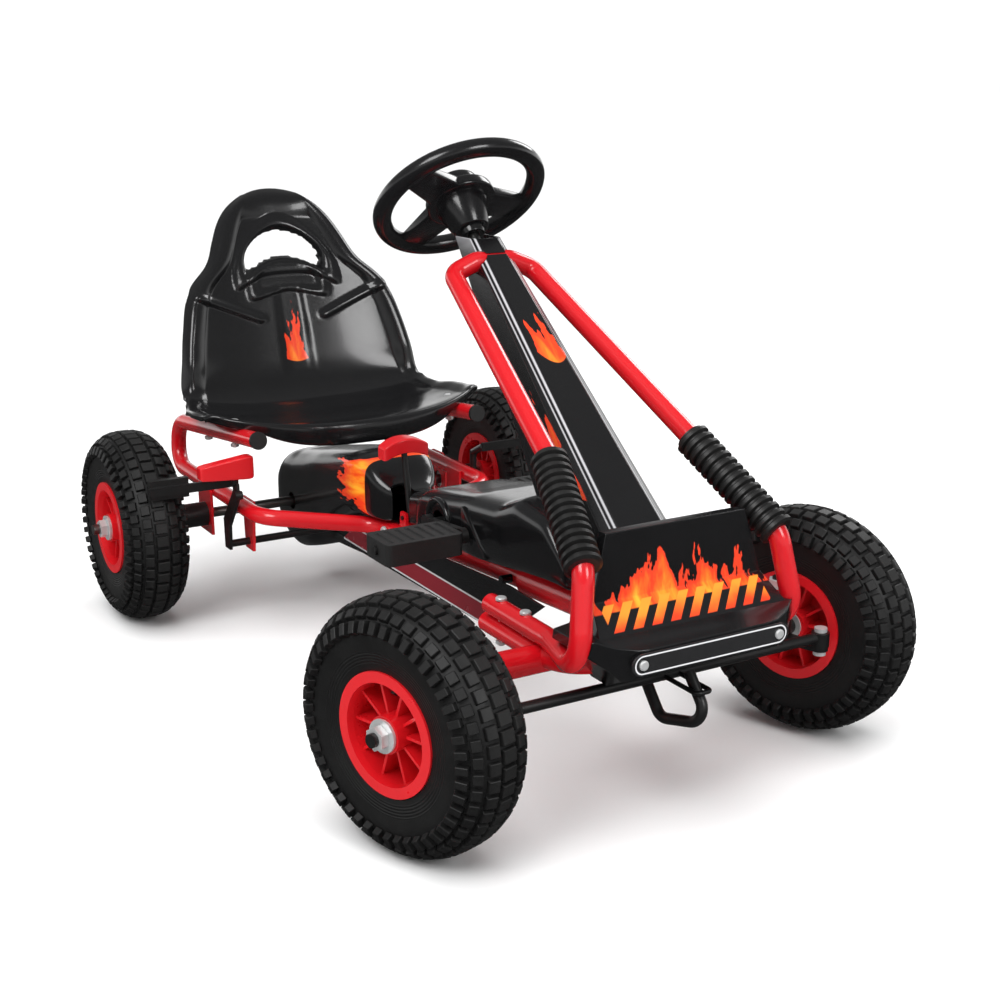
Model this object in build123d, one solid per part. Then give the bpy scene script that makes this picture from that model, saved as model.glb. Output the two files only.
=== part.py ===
from build123d import *
import os
from math import sin, cos, tan, radians, degrees, atan2, hypot

# Pedal go kart for a child: two bent rails and a steering hoop carry a bucket seat, a crank with
# block pedals, a chain drive to the rear axle, and front wheels on kingpins worked by a cranked
# steering rod and a tie bar.  Millimetres; +X forward, +Y the driver's left, +Z up; the origin is on
# the floor, half way between the axles.  The front wheels are modelled turned to the left.

# ---- driving dimensions --------------------------------------------------------------------
wheelbase = 767.0
front_axle_x = wheelbase / 2
rear_axle_x = -wheelbase / 2
kingpin_y = 203.0
stub_offset = 61.0              # kingpin to the middle of a front wheel
rear_wheel_y = 290.0
steer_rest = 17.0               # how far the front wheels are turned to the left at rest, degrees
run_gap = 0.05                  # radial clearance of a running fit
seat_gap = 0.3                  # clearance between curved faces that only lie near each other

tyre_radius = 130.0
tyre_width = 84.0
tyre_wall = 5.0
bead_radius = 53.5
bead_half_width = 32.5
flange_radius = 62.5
flange_thickness = 3.5
rim_wall = 3.0
rim_hub_radius = 19.0
rim_hub_half = 35.0
rib_count = 10
rib_thickness = 3.0
bearing_outer = 14.0
bearing_width = 9.0
valve_radius = 3.5
axle_radius = 7.0

tube_radius = 11.0              # all bent frame tubes
tube_wall = 1.8
beam_radius = 14.0              # the centre beam, which runs up a little to the front
beam_wall = 2.2
beam_rear_x = -150.0
beam_rear_z = 143.0
beam_front_x = 395.0
beam_front_z = 183.0
beam_end_x = 250.0              # the thin beam ends inside the thick one
sleeve_radius = 19.0
sleeve_start_x = 190.0
rail_y = beam_radius + tube_radius + 0.3
rail_in_x = -152.0              # the rails lie beside the beam from here
rail_end_x = -55.0
rail_lift = 5.0                 # their height above the beam's centre line
rail_out_y = 172.0              # and spread to this half width under the seat
rail_out_z = 166.0
rail_bend_x = -212.0
curl_x = -538.0
seat_tube_y = 164.0
seat_tube_front_x = -228.0
seat_tube_front_z = 265.0
seat_tube_rear_z = 232.0
bend_radius = 38.0
curl_bend_radius = 31.0

cross_tube_radius = 15.0
cross_tube_z = 160.0
kingpin_radius = 7.0
kingpin_sleeve_radius = 13.0
kingpin_sleeve_low = 146.0
kingpin_sleeve_high = 182.0
bumper_y = 104.0
bumper_z = 163.4
bumper_rear_x = 272.0
bumper_front_x = 430.0
bumper_bend = 44.0

hoop_foot_x = 280.0
hoop_foot_z = bumper_z + 2 * tube_radius + 0.8
hoop_low_x = 495.0
hoop_low_y = 132.0
hoop_low_bend = 32.0
hoop_top_x = 105.0
hoop_top_z = 524.0
hoop_shoulder = (106.0, 52.0, 512.0)
bellows_start = (365.8, 87.2, 363.0)
bellows_end = (477.2, 117.0, 283.7)
bellows_radius = 19.0
bellows_root_radius = 15.5
bellows_ribs = 15

column_tilt = 40.3              # from the vertical, leaning back to the driver
wheel_centre_x = 28.0
wheel_centre_z = 588.0
steering_wheel_radius = 104.6
rim_tube_radius = 10.7
wheel_turn = 22.0               # how far the steering wheel itself is turned at rest, degrees
spoke_width = 32.0
spoke_thickness = 9.0
boss_radius = 16.0
boss_length = 50.0
cap_radius = 27.0
cap_height = 12.0
rod_radius = 6.0
crank_throw = 56.0              # steering crank radius and knuckle arm length are the same
crank_low_z = 95.0
crank_leg_top_z = 150.0
tie_bar_z = 137.0
tie_bar_radius = 6.0
arm_thickness = 5.0
tie_pin_radius = 4.0
loop_wire = 2.5

crank_x = 92.0
crank_z = 222.0
crank_arm = 83.0
crank_rest_angle = 5.0          # right pedal forward, degrees above level
crank_rod_radius = 6.0
crank_arm_y = 80.0
spindle_radius = 5.0
pedal_inner_y = 93.0
pedal_length = 94.0
pedal_depth = 57.0
pedal_height = 25.0
bracket_y = 11.0
bracket_thickness = 4.0
front_teeth = 12
rear_teeth = 10
chain_pitch = 9.525
chain_height = 7.0
chain_plate = 1.2

plate_thickness = 4.0
plate_y = rail_out_y + tube_radius + 0.1 + plate_thickness / 2
axle_z = tyre_radius
axle_sleeve_radius = 17.0
axle_sleeve_end = 246.0

seat_half_width = 212.0
seat_wall = 5.0
seat_back_z = 286.0
seat_top_z = 563.0
hand_hole_half = 60.0
seat_bolt_radius = 3.0

case_half_width = 57.0
case_neck_half = 23.0
drum_radius = 74.0
shell_wall = 2.5
cover_half_width = 67.0
panel_y = 28.0

brake_shaft_x = -285.0
brake_shaft_z = 112.0
brake_rod_radius = 5.0
brake_arm_y = 190.0
brake_pad_x = -262.0
brake_pad_z = 208.0
brake_grip_x = -250.0
brake_grip_z = 227.0
brake_grip_shift = -12.0         # the grip sits a little outside its post
shift_x = -83.0
shift_y = -15.0
shift_pivot_z = 176.0
shift_grip_x = -100.0
shift_grip_z = 268.0

parts_folder = "parts"


# ---- helpers -------------------------------------------------------------------------------
def at(shape, x=0.0, y=0.0, z=0.0):
    """The shape moved to a point."""
    return Pos(x, y, z) * shape


def mirrored(shape):
    """The driver's left copy of a right-hand shape."""
    return mirror(shape, about=Plane.XZ)


def rod(start, end, radius, bore=0.0):
    """A round bar from point to point, with a bore if one is given."""
    a = Vector(*start)
    b = Vector(*end)
    plane = Plane(origin=a, z_dir=b - a)
    bar = extrude(plane * Circle(radius), amount=(b - a).length)
    if bore:
        bar -= extrude(plane * Circle(bore), amount=(b - a).length)
    return bar


def cross_bar(x, y0, y1, z, radius, bore=0.0):
    """A round bar along Y."""
    return rod((x, min(y0, y1), z), (x, max(y0, y1), z), radius, bore)


def bent_tube(points, radii, radius, wall=0.0):
    """A tube along straight runs joined by arcs; a wall of 0 makes it solid."""
    path = FilletPolyline(*points, radius=radii)
    section = Circle(radius)
    if wall:
        section -= Circle(radius - wall)
    start = Plane(origin=path @ 0, z_dir=path % 0)
    return sweep(start * section, path=path)


def prism_xz(points, y0, y1):
    """A plate with its outline in the side view, between two widths."""
    face = Plane.XZ * make_face(Polyline(*points, close=True))
    return at(extrude(face, amount=y1 - y0, dir=(0, 1, 0)), y=y0)


def hex_nut(x, y, z, axis, across, height, bore):
    """A hexagon nut standing on its seat and growing along the axis."""
    plane = Plane(origin=(x, y, z), z_dir=axis)
    nut = RegularPolygon(across / 2, 6, major_radius=False) - Circle(bore)
    return extrude(plane * nut, amount=height)


def bolt(head, tip, radius, head_radius, head_height):
    """A domed bolt: the shank runs from under its head to its tip."""
    a = Vector(*head)
    b = Vector(*tip)
    plane = Plane(origin=a, z_dir=a - b)
    top = extrude(plane * Circle(head_radius), amount=head_height)
    top = fillet(top.edges().sort_by(lambda e: (e.center() - b).length)[-1:], head_height * 0.6)
    return top + rod(tip, head, radius)


def save(name, *solids):
    """Write one node; several pieces of one kind share it as separate solids."""
    shape = solids[0] if len(solids) == 1 else Compound(children=list(solids))
    export_step(shape, f"{parts_folder}/{name}.step")


# ---- wheels, drawn about the origin with their axle along Y and outside towards -Y -----------
def tyre():
    half = tyre_width / 2
    outer = [(bead_half_width, bead_radius), (bead_half_width, flange_radius + 1.5),
             (half - 5, flange_radius + 5), (half, 88), (half, 106), (half - 4, tyre_radius - 9),
             (half - 14, tyre_radius - 2), (0, tyre_radius)]
    wall = tyre_wall
    inner = [(0, tyre_radius - 1.6 * wall), (half - 16, tyre_radius - 2 - 1.6 * wall),
             (half - 4 - wall, tyre_radius - 10 - wall), (half - wall, 105), (half - wall, 89),
             (half - 7 - wall, flange_radius + 8), (bead_half_width - wall, flange_radius + 2),
             (bead_half_width - wall, bead_radius)]
    side = make_face(Plane.YZ * Polyline(*outer, *inner, close=True))
    half_tyre = revolve(side, axis=Axis.Y, revolution_arc=360)
    return half_tyre + mirrored(half_tyre)


def inner_tube():
    """The air tube with its valve stem, clear of the tyre and the rim."""
    gap = seat_gap
    wall = 1.5
    half = bead_half_width - tyre_wall - gap
    top = tyre_radius - 1.6 * tyre_wall - gap - 3
    outline = [(-half, bead_radius + gap), (half, bead_radius + gap), (half, flange_radius + 6),
               (half + 4, 90), (half + 4, 100), (half - 6, top), (6 - half, top),
               (-half - 4, 100), (-half - 4, 90), (-half, flange_radius + 6)]
    ring = make_face(Plane.YZ * Polyline(*outline, close=True))
    inside = offset(ring, amount=-wall)
    return revolve(ring, axis=Axis.Y) - revolve(inside, axis=Axis.Y)


def valve(radius):
    """The stem that leans out through the dish of the rim."""
    return rod((0, -6, bead_radius + 2), (0, -22, bead_radius - 16), radius)


def rim(hub_bore):
    """A moulded rim: barrel with flanges, a centre disc, a hub and ribs on both sides."""
    half = bead_half_width
    barrel_in = bead_radius - rim_wall
    lip = half + flange_thickness
    outline = [(-lip, barrel_in + 1), (-half + 4, barrel_in), (half - 4, barrel_in), (lip, barrel_in + 1),
               (lip, flange_radius), (half + seat_gap, flange_radius), (half + seat_gap, bead_radius - seat_gap),
               (-half - seat_gap, bead_radius - seat_gap), (-half - seat_gap, flange_radius),
               (-lip, flange_radius)]
    body = revolve(make_face(Plane.YZ * Polyline(*outline, close=True)), axis=Axis.Y)
    disc = cross_bar(0, -2.5, 2.5, 0, barrel_in + 1)
    hub = cross_bar(0, -rim_hub_half, rim_hub_half, 0, rim_hub_radius)
    body = body + disc + hub
    reach = half - 8
    for index in range(rib_count):
        angle = 360 * (index + 0.5) / rib_count
        rib = at(Box(rib_thickness, 2 * reach, barrel_in - rim_hub_radius + 4), z=(barrel_in + rim_hub_radius) / 2)
        body += Rot(0, angle, 0) * rib
    body -= cross_bar(0, -rim_hub_half - 1, rim_hub_half + 1, 0, hub_bore)
    return body - valve(valve_radius + seat_gap)


def wheel_bearings(bore, seat):
    """Two flanged bearings pressed into the ends of a hub."""
    pieces = []
    for side in (-1, 1):
        y_out = side * rim_hub_half
        y_in = side * (rim_hub_half - bearing_width)
        ring = cross_bar(0, y_in, y_out, 0, seat, bore + run_gap)
        collar = cross_bar(0, y_out, y_out + side * 1.5, 0, seat + 2, bore + run_gap)
        pieces.append(ring + collar)
    return pieces


def wheel_sets():
    """Every wheel's pieces at its rest place, by name; the right-hand ones face -Y."""
    steer = {"front_right": -kingpin_y, "front_left": kingpin_y}
    for name, pin_y in steer.items():
        side = -1 if pin_y < 0 else 1
        place = Pos(front_axle_x, pin_y, axle_z) * Rot(0, 0, steer_rest) * Pos(0, side * stub_offset, 0)
        turn = Rot(0, 0, 0) if side < 0 else Rot(0, 0, 180)
        write_wheel(name, place * turn, axle_radius)
    for name, wheel_y in {"rear_right": -rear_wheel_y, "rear_left": rear_wheel_y}.items():
        turn = Rot(0, 0, 0) if wheel_y < 0 else Rot(0, 0, 180)
        write_wheel(name, Pos(rear_axle_x, wheel_y, axle_z) * turn, axle_radius)


def write_wheel(name, place, bore):
    save(f"tyre_{name}", place * tyre())
    save(f"inner_tube_{name}", place * (inner_tube() + valve(valve_radius)))
    if name == "rear_left":
        save(f"rim_{name}", place * rim(bore))
        return
    save(f"rim_{name}", place * rim(bearing_outer))
    save(f"bearings_{name}", *[place * piece for piece in wheel_bearings(bore, bearing_outer)])


# ---- frame ---------------------------------------------------------------------------------
def beam_z(x):
    """Height of the beam's centre line."""
    return beam_rear_z + (x - beam_rear_x) * (beam_front_z - beam_rear_z) / (beam_front_x - beam_rear_x)


def beam_bar(x0, x1, radius, bore=0.0):
    """A round bar along the beam's line."""
    return rod((x0, 0, beam_z(x0)), (x1, 0, beam_z(x1)), radius, bore)


def column_point(z):
    """The point of the steering axis at a height."""
    return (wheel_centre_x + (wheel_centre_z - z) * tan(radians(column_tilt)), 0.0, z)


def column_frame(turn=0.0):
    """Z up the column, X forward of it, at the middle of the steering wheel."""
    return Location((wheel_centre_x, 0, wheel_centre_z), (0, -column_tilt, 0)) * Rot(0, 0, turn)


def side_tube(grow=0.0):
    """The right-hand tube: seat support, rear curl, spread rail and the run beside the beam."""
    points = [(seat_tube_front_x, -seat_tube_y, seat_tube_front_z), (curl_x, -168, seat_tube_rear_z),
              (curl_x, -rail_out_y, rail_out_z), (rail_bend_x, -rail_out_y, rail_out_z),
              (rail_in_x, -rail_y, beam_z(rail_in_x) + rail_lift),
              (rail_end_x, -rail_y, beam_z(rail_end_x) + rail_lift)]
    radii = [curl_bend_radius, curl_bend_radius, bend_radius, bend_radius]
    if grow:
        return bent_tube(points, radii, tube_radius + grow)
    return bent_tube(points, radii, tube_radius, tube_wall)


def hoop_path(radius, wall=0.0):
    """Feet on the bumper tube, bends up outside the nose, legs to the bridge at the top."""
    x, y, z = hoop_shoulder
    right = [(hoop_foot_x, -bumper_y, hoop_foot_z), (400, -bumper_y - 2, hoop_foot_z),
             (hoop_low_x, -hoop_low_y, hoop_foot_z),
             (bellows_end[0], -bellows_end[1], bellows_end[2]),
             (bellows_start[0], -bellows_start[1], bellows_start[2]), (x, -y, z),
             (hoop_top_x, -22, hoop_top_z)]
    left = [(point[0], -point[1], point[2]) for point in reversed(right)]
    radii = [60, hoop_low_bend, 34, 50, 15, 15]
    return bent_tube([*right, *left], radii + radii[::-1], radius, wall)


def hoop_holder_z():
    """Height on the steering axis that is nearest to the hoop's bridge."""
    tilt = radians(column_tilt)
    along = (hoop_top_x - wheel_centre_x) * sin(tilt) + (wheel_centre_z - hoop_top_z) * cos(tilt)
    return wheel_centre_z - along * cos(tilt)


def steering_hoop():
    z = hoop_holder_z()
    holder = rod(column_point(z - 11), column_point(z + 11), 12)
    tube = hoop_path(tube_radius, tube_wall) + (holder - hoop_path(tube_radius - tube_wall))
    tube -= rod(column_point(z - 30), column_point(z + 30), 9)
    return drill(tube, hoop_bolt_places(), 3)


def cross_tube():
    """Front beam, cross tube, kingpin sleeves and the lower sleeve of the steering rod."""
    body = cross_bar(front_axle_x, -kingpin_y, kingpin_y, cross_tube_z, cross_tube_radius)
    body += beam_bar(sleeve_start_x, beam_front_x - 8, sleeve_radius)
    for y in (-kingpin_y, kingpin_y):
        body += rod((front_axle_x, y, kingpin_sleeve_low), (front_axle_x, y, kingpin_sleeve_high),
                    kingpin_sleeve_radius)
    body += rod(column_point(138), column_point(207), 12)
    for y in (-kingpin_y, kingpin_y):
        body -= rod((front_axle_x, y, 100), (front_axle_x, y, 240), kingpin_radius + run_gap)
    body -= rod(column_point(100), column_point(260), 9)
    body -= beam_bar(sleeve_start_x - 10, beam_end_x + 60, beam_radius + 0.05)
    for side in (-1, 1):
        body -= cross_bar(front_axle_x, side * 30, side * (kingpin_y - 16), cross_tube_z,
                          cross_tube_radius - 2.2)
    return body


def rear_beam():
    """The thin end of the beam, relieved on top where the chain runs down over it."""
    tube = beam_bar(beam_rear_x, beam_end_x, beam_radius, beam_radius - beam_wall)
    tube -= cross_bar(rail_bolt_x, -60, 60, beam_z(rail_bolt_x) + rail_lift, 4.05)
    return tube - chain_loop(chain_height / 2 + 1.5, 9)


def bumper_bend_tube(radius, wall=0.0):
    """The flat U ahead of the cross tube."""
    points = [(front_axle_x, -bumper_y, bumper_z), (bumper_front_x, -bumper_y, bumper_z),
              (bumper_front_x, bumper_y, bumper_z), (front_axle_x, bumper_y, bumper_z)]
    return bent_tube(points, [bumper_bend, bumper_bend], radius, wall)


def bumper_tube():
    """The U and the two stubs behind the cross tube, all coped onto it."""
    cope = cross_bar(front_axle_x, -kingpin_y, kingpin_y, cross_tube_z, cross_tube_radius)
    pieces = [bumper_bend_tube(tube_radius, tube_wall) - cope]
    for side in (-1, 1):
        stub = rod((bumper_rear_x, side * bumper_y, bumper_z), (front_axle_x, side * bumper_y, bumper_z),
                   tube_radius, tube_radius - tube_wall)
        pieces.append(drill(stub - cope, hoop_bolt_places(), 3))
    return pieces


def hoop_bolt_places():
    """Where the hoop's feet are bolted down to the bumper tube."""
    return [(x, side * (bumper_y + 0.5)) for x in (303, 352) for side in (-1, 1)]


def seat_bolt_places():
    """Where the seat is bolted to the seat tubes."""
    return [(x, side * (seat_tube_y + 1.5)) for x in (-310, -415) for side in (-1, 1)]


def drill(shape, places, radius, z0=0.0, z1=400.0):
    """Vertical bolt holes."""
    for x, y in places:
        shape -= rod((x, y, z0), (x, y, z1), radius + run_gap)
    return shape


def seat_tube_z(x):
    """Height of the seat tubes' centre line."""
    run = seat_tube_front_x - curl_x
    return seat_tube_front_z - (seat_tube_front_x - x) * (seat_tube_front_z - seat_tube_rear_z) / run


def column_bushes():
    """Flanged bushes of the steering rod: in the hoop's holder and at the cross tube."""
    pieces = []
    for low, high in ((hoop_holder_z() - 11, hoop_holder_z() + 11), (138, 207)):
        bush = rod(column_point(low), column_point(high), 9, rod_radius + run_gap)
        flange = rod(column_point(high), column_point(high + 1.5), 12, rod_radius + run_gap)
        pieces.append(bush + flange)
    return pieces


def frame_plates():
    """Axle plates on the outside of the rails and hangers for the brake shaft below them."""
    pieces = []
    for side in (-1, 1):
        face = [(rear_axle_x - 27, 104), (rear_axle_x + 24, 104), (rear_axle_x + 24, 166),
                (rear_axle_x + 14, 174), (rear_axle_x - 17, 174), (rear_axle_x - 27, 166)]
        y0 = side * plate_y - plate_thickness / 2
        plate = prism_xz(face, y0, y0 + plate_thickness)
        pieces.append(plate - cross_bar(rear_axle_x, -400, 400, axle_z, axle_sleeve_radius - 4))
        hanger = [(brake_shaft_x - 14, brake_shaft_z - 12), (brake_shaft_x + 14, brake_shaft_z - 12),
                  (brake_shaft_x + 20, 172), (brake_shaft_x - 20, 172)]
        y0 = side * (rail_out_y - tube_radius - 2.1) - 2
        plate = prism_xz(hanger, y0, y0 + 4)
        pieces.append(plate - cross_bar(brake_shaft_x, -400, 400, brake_shaft_z, brake_rod_radius + run_gap))
    return pieces


def axle_sleeves():
    """Sleeves on the axle plates; each holds a bearing at either end."""
    inner = plate_y + plate_thickness / 2
    sleeve = cross_bar(rear_axle_x, -axle_sleeve_end, -inner, axle_z, axle_sleeve_radius, axle_sleeve_radius - 3)
    return [sleeve, mirrored(sleeve)]


def axle_bearings():
    """Ball bearings between the sleeves and the axle."""
    pieces = []
    for side in (-1, 1):
        for y in (plate_y + 3, axle_sleeve_end - bearing_width - 1):
            pieces.append(cross_bar(rear_axle_x, side * y, side * (y + bearing_width), axle_z,
                                    axle_sleeve_radius - 3, axle_radius + run_gap))
    return pieces


def drive_brackets():
    """Plates on the beam for the crank, and an ear beside it for the shift lever."""
    pieces = []
    for side in (-1, 1):
        y0 = side * bracket_y - bracket_thickness / 2
        outline = [(crank_x - 26, beam_z(crank_x) + 4), (crank_x + 26, beam_z(crank_x) + 4),
                   (crank_x + 13, crank_z + 15), (crank_x - 13, crank_z + 15)]
        plate = prism_xz(outline, y0, y0 + bracket_thickness)
        plate -= cross_bar(crank_x, -100, 100, crank_z, 10)
        pieces.append(plate - beam_bar(beam_rear_x, beam_end_x, beam_radius))
    ear = prism_xz([(shift_x - 12, 150), (shift_x + 12, 150), (shift_x + 7, shift_pivot_z + 7),
                    (shift_x - 7, shift_pivot_z + 7)], shift_y - 11, shift_y - 7)
    ear -= cross_bar(shift_x, -60, 60, shift_pivot_z, 3.05)
    pieces.append(ear - side_tube(0.05))
    return pieces


def crank_bushes():
    """Flanged bushes pressed into the crank's plates."""
    pieces = []
    for side in (-1, 1):
        inner = side * (bracket_y - bracket_thickness / 2)
        outer = side * (bracket_y + bracket_thickness / 2)
        bush = cross_bar(crank_x, inner, outer, crank_z, 10, crank_rod_radius + run_gap)
        flange = cross_bar(crank_x, outer, outer + side * 2, crank_z, 13, crank_rod_radius + run_gap)
        pieces.append(bush + flange)
    return pieces


rail_bolt_x = -116.0


def frame_bolts():
    """Bolts through the hoop's feet, and one through both rails and the beam."""
    pieces = []
    top = hoop_foot_z + tube_radius
    for x, y in hoop_bolt_places():
        pieces.append(bolt((x, y, top), (x, y, bumper_z - tube_radius - 6), 3, 6, 3.5))
        pieces.append(hex_nut(x, y, bumper_z - tube_radius - 0.3, (0, 0, -1), 10, 4, 3))
    z = beam_z(rail_bolt_x) + rail_lift
    side = rail_y + tube_radius
    pieces.append(bolt((rail_bolt_x, -side, z), (rail_bolt_x, side + 7, z), 4, 7, 4))
    pieces.append(hex_nut(rail_bolt_x, side + 0.3, z, (0, 1, 0), 13, 5, 4))
    return pieces


# ---- drive ---------------------------------------------------------------------------------
def pitch_radius(teeth):
    return chain_pitch / (2 * sin(radians(180 / teeth)))


def sprocket(x, z, teeth, bore):
    """A thin toothed wheel: round gaps between the teeth and a hub."""
    radius = pitch_radius(teeth)
    face = Circle(radius + 2.6)
    gap = Circle(3.4)
    for index in range(teeth):
        face -= Rot(0, 0, 360 * index / teeth) * Pos(radius, 0) * gap
    plate = Plane.XZ * face
    wheel = at(extrude(plate, amount=2.4, dir=(0, 1, 0)), y=-1.2)
    wheel = at(wheel, x=x, z=z) + cross_bar(x, -3.5, 3.5, z, min(11.0, radius - 4.5))
    return wheel - cross_bar(x, -10, 10, z, bore)


def belt_face(grow):
    """The area inside a belt round both sprockets, on their pitch line plus an amount."""
    r0 = pitch_radius(front_teeth) + grow
    r1 = pitch_radius(rear_teeth) + grow
    run = hypot(crank_x - rear_axle_x, crank_z - axle_z)
    lean = atan2(crank_z - axle_z, crank_x - rear_axle_x)
    open_angle = atan2(r0 - r1, run)
    sides = []
    for sign in (1, -1):
        angle = lean + sign * (radians(90) - open_angle)
        sides.append([(crank_x + r0 * cos(angle), crank_z + r0 * sin(angle)),
                      (rear_axle_x + r1 * cos(angle), axle_z + r1 * sin(angle))])
    quad = make_face(Polyline(*sides[0], *sides[1][::-1], close=True))
    return quad + Pos(crank_x, crank_z) * Circle(r0) + Pos(rear_axle_x, axle_z) * Circle(r1)


def belt_plate(face, y, thickness):
    """A belt-shaped area made into a plate centred on a width."""
    return at(extrude(Plane.XZ * face, amount=thickness, dir=(0, 1, 0)), y=y - thickness / 2)


def chain_loop(half_height, width):
    """The closed loop the chain takes up, for clearance cuts."""
    return belt_plate(belt_face(half_height) - belt_face(-half_height), 0, width)


def chain():
    """The two rows of link plates, one on each side of the sprockets."""
    ring = belt_face(chain_height / 2) - belt_face(-chain_height / 2)
    return [belt_plate(ring, side * 2.3, chain_plate) for side in (-1, 1)]


def crank_point(side):
    """Centre of a pedal's spindle in the side view."""
    angle = radians(crank_rest_angle + (0 if side < 0 else 180))
    return crank_x + crank_arm * cos(angle), crank_z + crank_arm * sin(angle)


def crank():
    """Crank axle with an arm and a pedal spindle on either side."""
    body = cross_bar(crank_x, -crank_arm_y, crank_arm_y, crank_z, crank_rod_radius)
    for side in (-1, 1):
        x, z = crank_point(side)
        arm = Pos((x + crank_x) / 2, side * crank_arm_y, (z + crank_z) / 2)
        arm = arm * Rot(0, -crank_rest_angle, 0) * Box(crank_arm, 8, 16)
        body += arm + cross_bar(crank_x, side * 76, side * 84, crank_z, 11)
        body += cross_bar(x, side * 76, side * 84, z, 9)
        body += cross_bar(x, side * 84, side * (pedal_inner_y + pedal_length + 3), z, spindle_radius)
    return body


def pedal(side):
    """A block with a waist, grip ridges and a through bore for its spindle."""
    x, z = crank_point(side)
    block = Box(pedal_depth, pedal_length, pedal_height)
    block = fillet(block.edges().filter_by(Axis.Z), 7)
    for face in (-1, 1):
        for index in range(-3, 4):
            groove = Box(pedal_depth - 14, 5, 3)
            block -= at(groove, y=index * 12.5, z=face * pedal_height / 2)
    block = at(block, x, side * (pedal_inner_y + pedal_length / 2), z)
    return block - cross_bar(x, -400, 400, z, spindle_radius + run_gap)


def rear_axle():
    """Live axle with shoulders that keep the wheels off the sleeves."""
    half = rear_wheel_y + rim_hub_half + 22
    body = cross_bar(rear_axle_x, -half, half, axle_z, axle_radius)
    for side in (-1, 1):
        end = rear_wheel_y - rim_hub_half - (1.8 if side < 0 else 0.3)
        body += cross_bar(rear_axle_x, side * (axle_sleeve_end + 0.5), side * end, axle_z, 10)
    return body


def axle_nuts():
    """A washer and a nut at either end of the rear axle."""
    pieces = []
    for side in (-1, 1):
        face = rear_wheel_y + rim_hub_half + (1.8 if side < 0 else 0.3)
        washer = cross_bar(rear_axle_x, side * face, side * (face + 2), axle_z, 17, axle_radius)
        nut = hex_nut(rear_axle_x, side * (face + 2.3), axle_z, (0, side, 0), 21, 9, axle_radius)
        pieces += [washer, nut]
    return pieces


# ---- steering ------------------------------------------------------------------------------
def crank_leg_point(z):
    """A point of the steering crank's leg, which runs beside the rod at the crank's throw."""
    turn = radians(steer_rest)
    tilt = radians(column_tilt)
    x, y, height = column_point(z - crank_throw * cos(turn) * sin(tilt))
    return (x + crank_throw * cos(turn) * cos(tilt), crank_throw * sin(turn), z)


def steering_column():
    """The steering rod; its low end is bent round into a crank that stands in the tie bar's loop."""
    top = column_point(wheel_centre_z + 4)
    points = [top, column_point(crank_low_z), crank_leg_point(crank_low_z + 12),
              crank_leg_point(crank_leg_top_z)]
    return bent_tube(points, [15, 15], rod_radius)


def steering_wheel():
    """Ring, three broad spokes and a tapered boss, drawn flat and set on the column."""
    place = column_frame(wheel_turn)
    ring = Torus(steering_wheel_radius - rim_tube_radius, rim_tube_radius)
    body = ring
    for angle in (80, 180, 280):
        reach = steering_wheel_radius - rim_tube_radius
        spoke = at(Box(reach, spoke_width, spoke_thickness), x=reach / 2)
        body += Rot(0, 0, angle) * spoke
    body += at(Cylinder(30, 14), z=-1)
    body += at(Cone(13, 24, boss_length), z=-boss_length / 2 - 3)
    body -= Cylinder(rod_radius, 140)
    body -= at(Cylinder(cap_radius - 4, 4), z=6)
    hole = Plane(origin=(0, 0, -30), z_dir=(0, -1, 0)) * Circle(2)
    body -= extrude(hole, amount=30)
    return place * body


def steering_cap():
    """Round cap over the steering wheel's middle, and the screw in its boss."""
    place = column_frame(wheel_turn)
    cap = at(Cylinder(cap_radius, cap_height), z=6.3 + cap_height / 2)
    cap = fillet(cap.edges().sort_by(Axis.Z)[-1:], 5)
    screw = Plane(origin=(0, -rod_radius - 0.3, -30), z_dir=(0, -1, 0)) * Circle(2)
    return [place * cap, place * extrude(screw, amount=15)]


def steer_place(side):
    """Turns a straight-ahead corner about its kingpin to the rest angle."""
    return Pos(front_axle_x, side * kingpin_y, 0) * Rot(0, 0, steer_rest)


def knuckle(side):
    """Kingpin, block, stub axle and steering arm, forged as one."""
    block = fillet(at(Box(28, 26, 27), z=131.2).edges().filter_by(Axis.Z), 6)
    pin = rod((0, 0, 120), (0, 0, kingpin_sleeve_high + 12), kingpin_radius)
    end = side * (stub_offset + rim_hub_half + 18)
    stub = cross_bar(0, 0, end, axle_z, axle_radius)
    shoulder = cross_bar(0, 0, side * (stub_offset - rim_hub_half - 1.8), axle_z, 10)
    tip = rod((crank_throw, 0, 122), (crank_throw, 0, 122 + arm_thickness), 9)
    outline = [(-12, 13), (crank_throw + 2, 8.5), (crank_throw + 2, -8.5), (-12, -13)]
    arm = extrude(Plane.XY * make_face(Polyline(*outline, close=True)), amount=arm_thickness)
    body = block + pin + stub + shoulder + tip + at(arm, z=122)
    body -= rod((crank_throw, 0, 100), (crank_throw, 0, 160), tie_pin_radius)
    return steer_place(side) * body


def knuckle_fasteners(side):
    """Kingpin nut, the pin through the steering arm, and the wheel's washer and nut."""
    washer = rod((0, 0, kingpin_sleeve_high + 0.3), (0, 0, kingpin_sleeve_high + 2), 12, kingpin_radius)
    top_nut = hex_nut(0, 0, kingpin_sleeve_high + 2.3, (0, 0, 1), 20, 7, kingpin_radius)
    pin = rod((crank_throw, 0, 117), (crank_throw, 0, tie_bar_z + 11), tie_pin_radius)
    pin += rod((crank_throw, 0, 117), (crank_throw, 0, 121.7), 7)
    pin += rod((crank_throw, 0, tie_bar_z + tie_bar_radius + 0.5), (crank_throw, 0, tie_bar_z + 11), 7)
    face = stub_offset + rim_hub_half + 1.8
    hub_washer = cross_bar(0, side * face, side * (face + 2), axle_z, 17, axle_radius)
    hub_nut = hex_nut(0, side * (face + 2.3), axle_z, (0, side, 0), 21, 9, axle_radius)
    return [steer_place(side) * piece for piece in (washer, top_nut, pin, hub_washer, hub_nut)]


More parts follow.
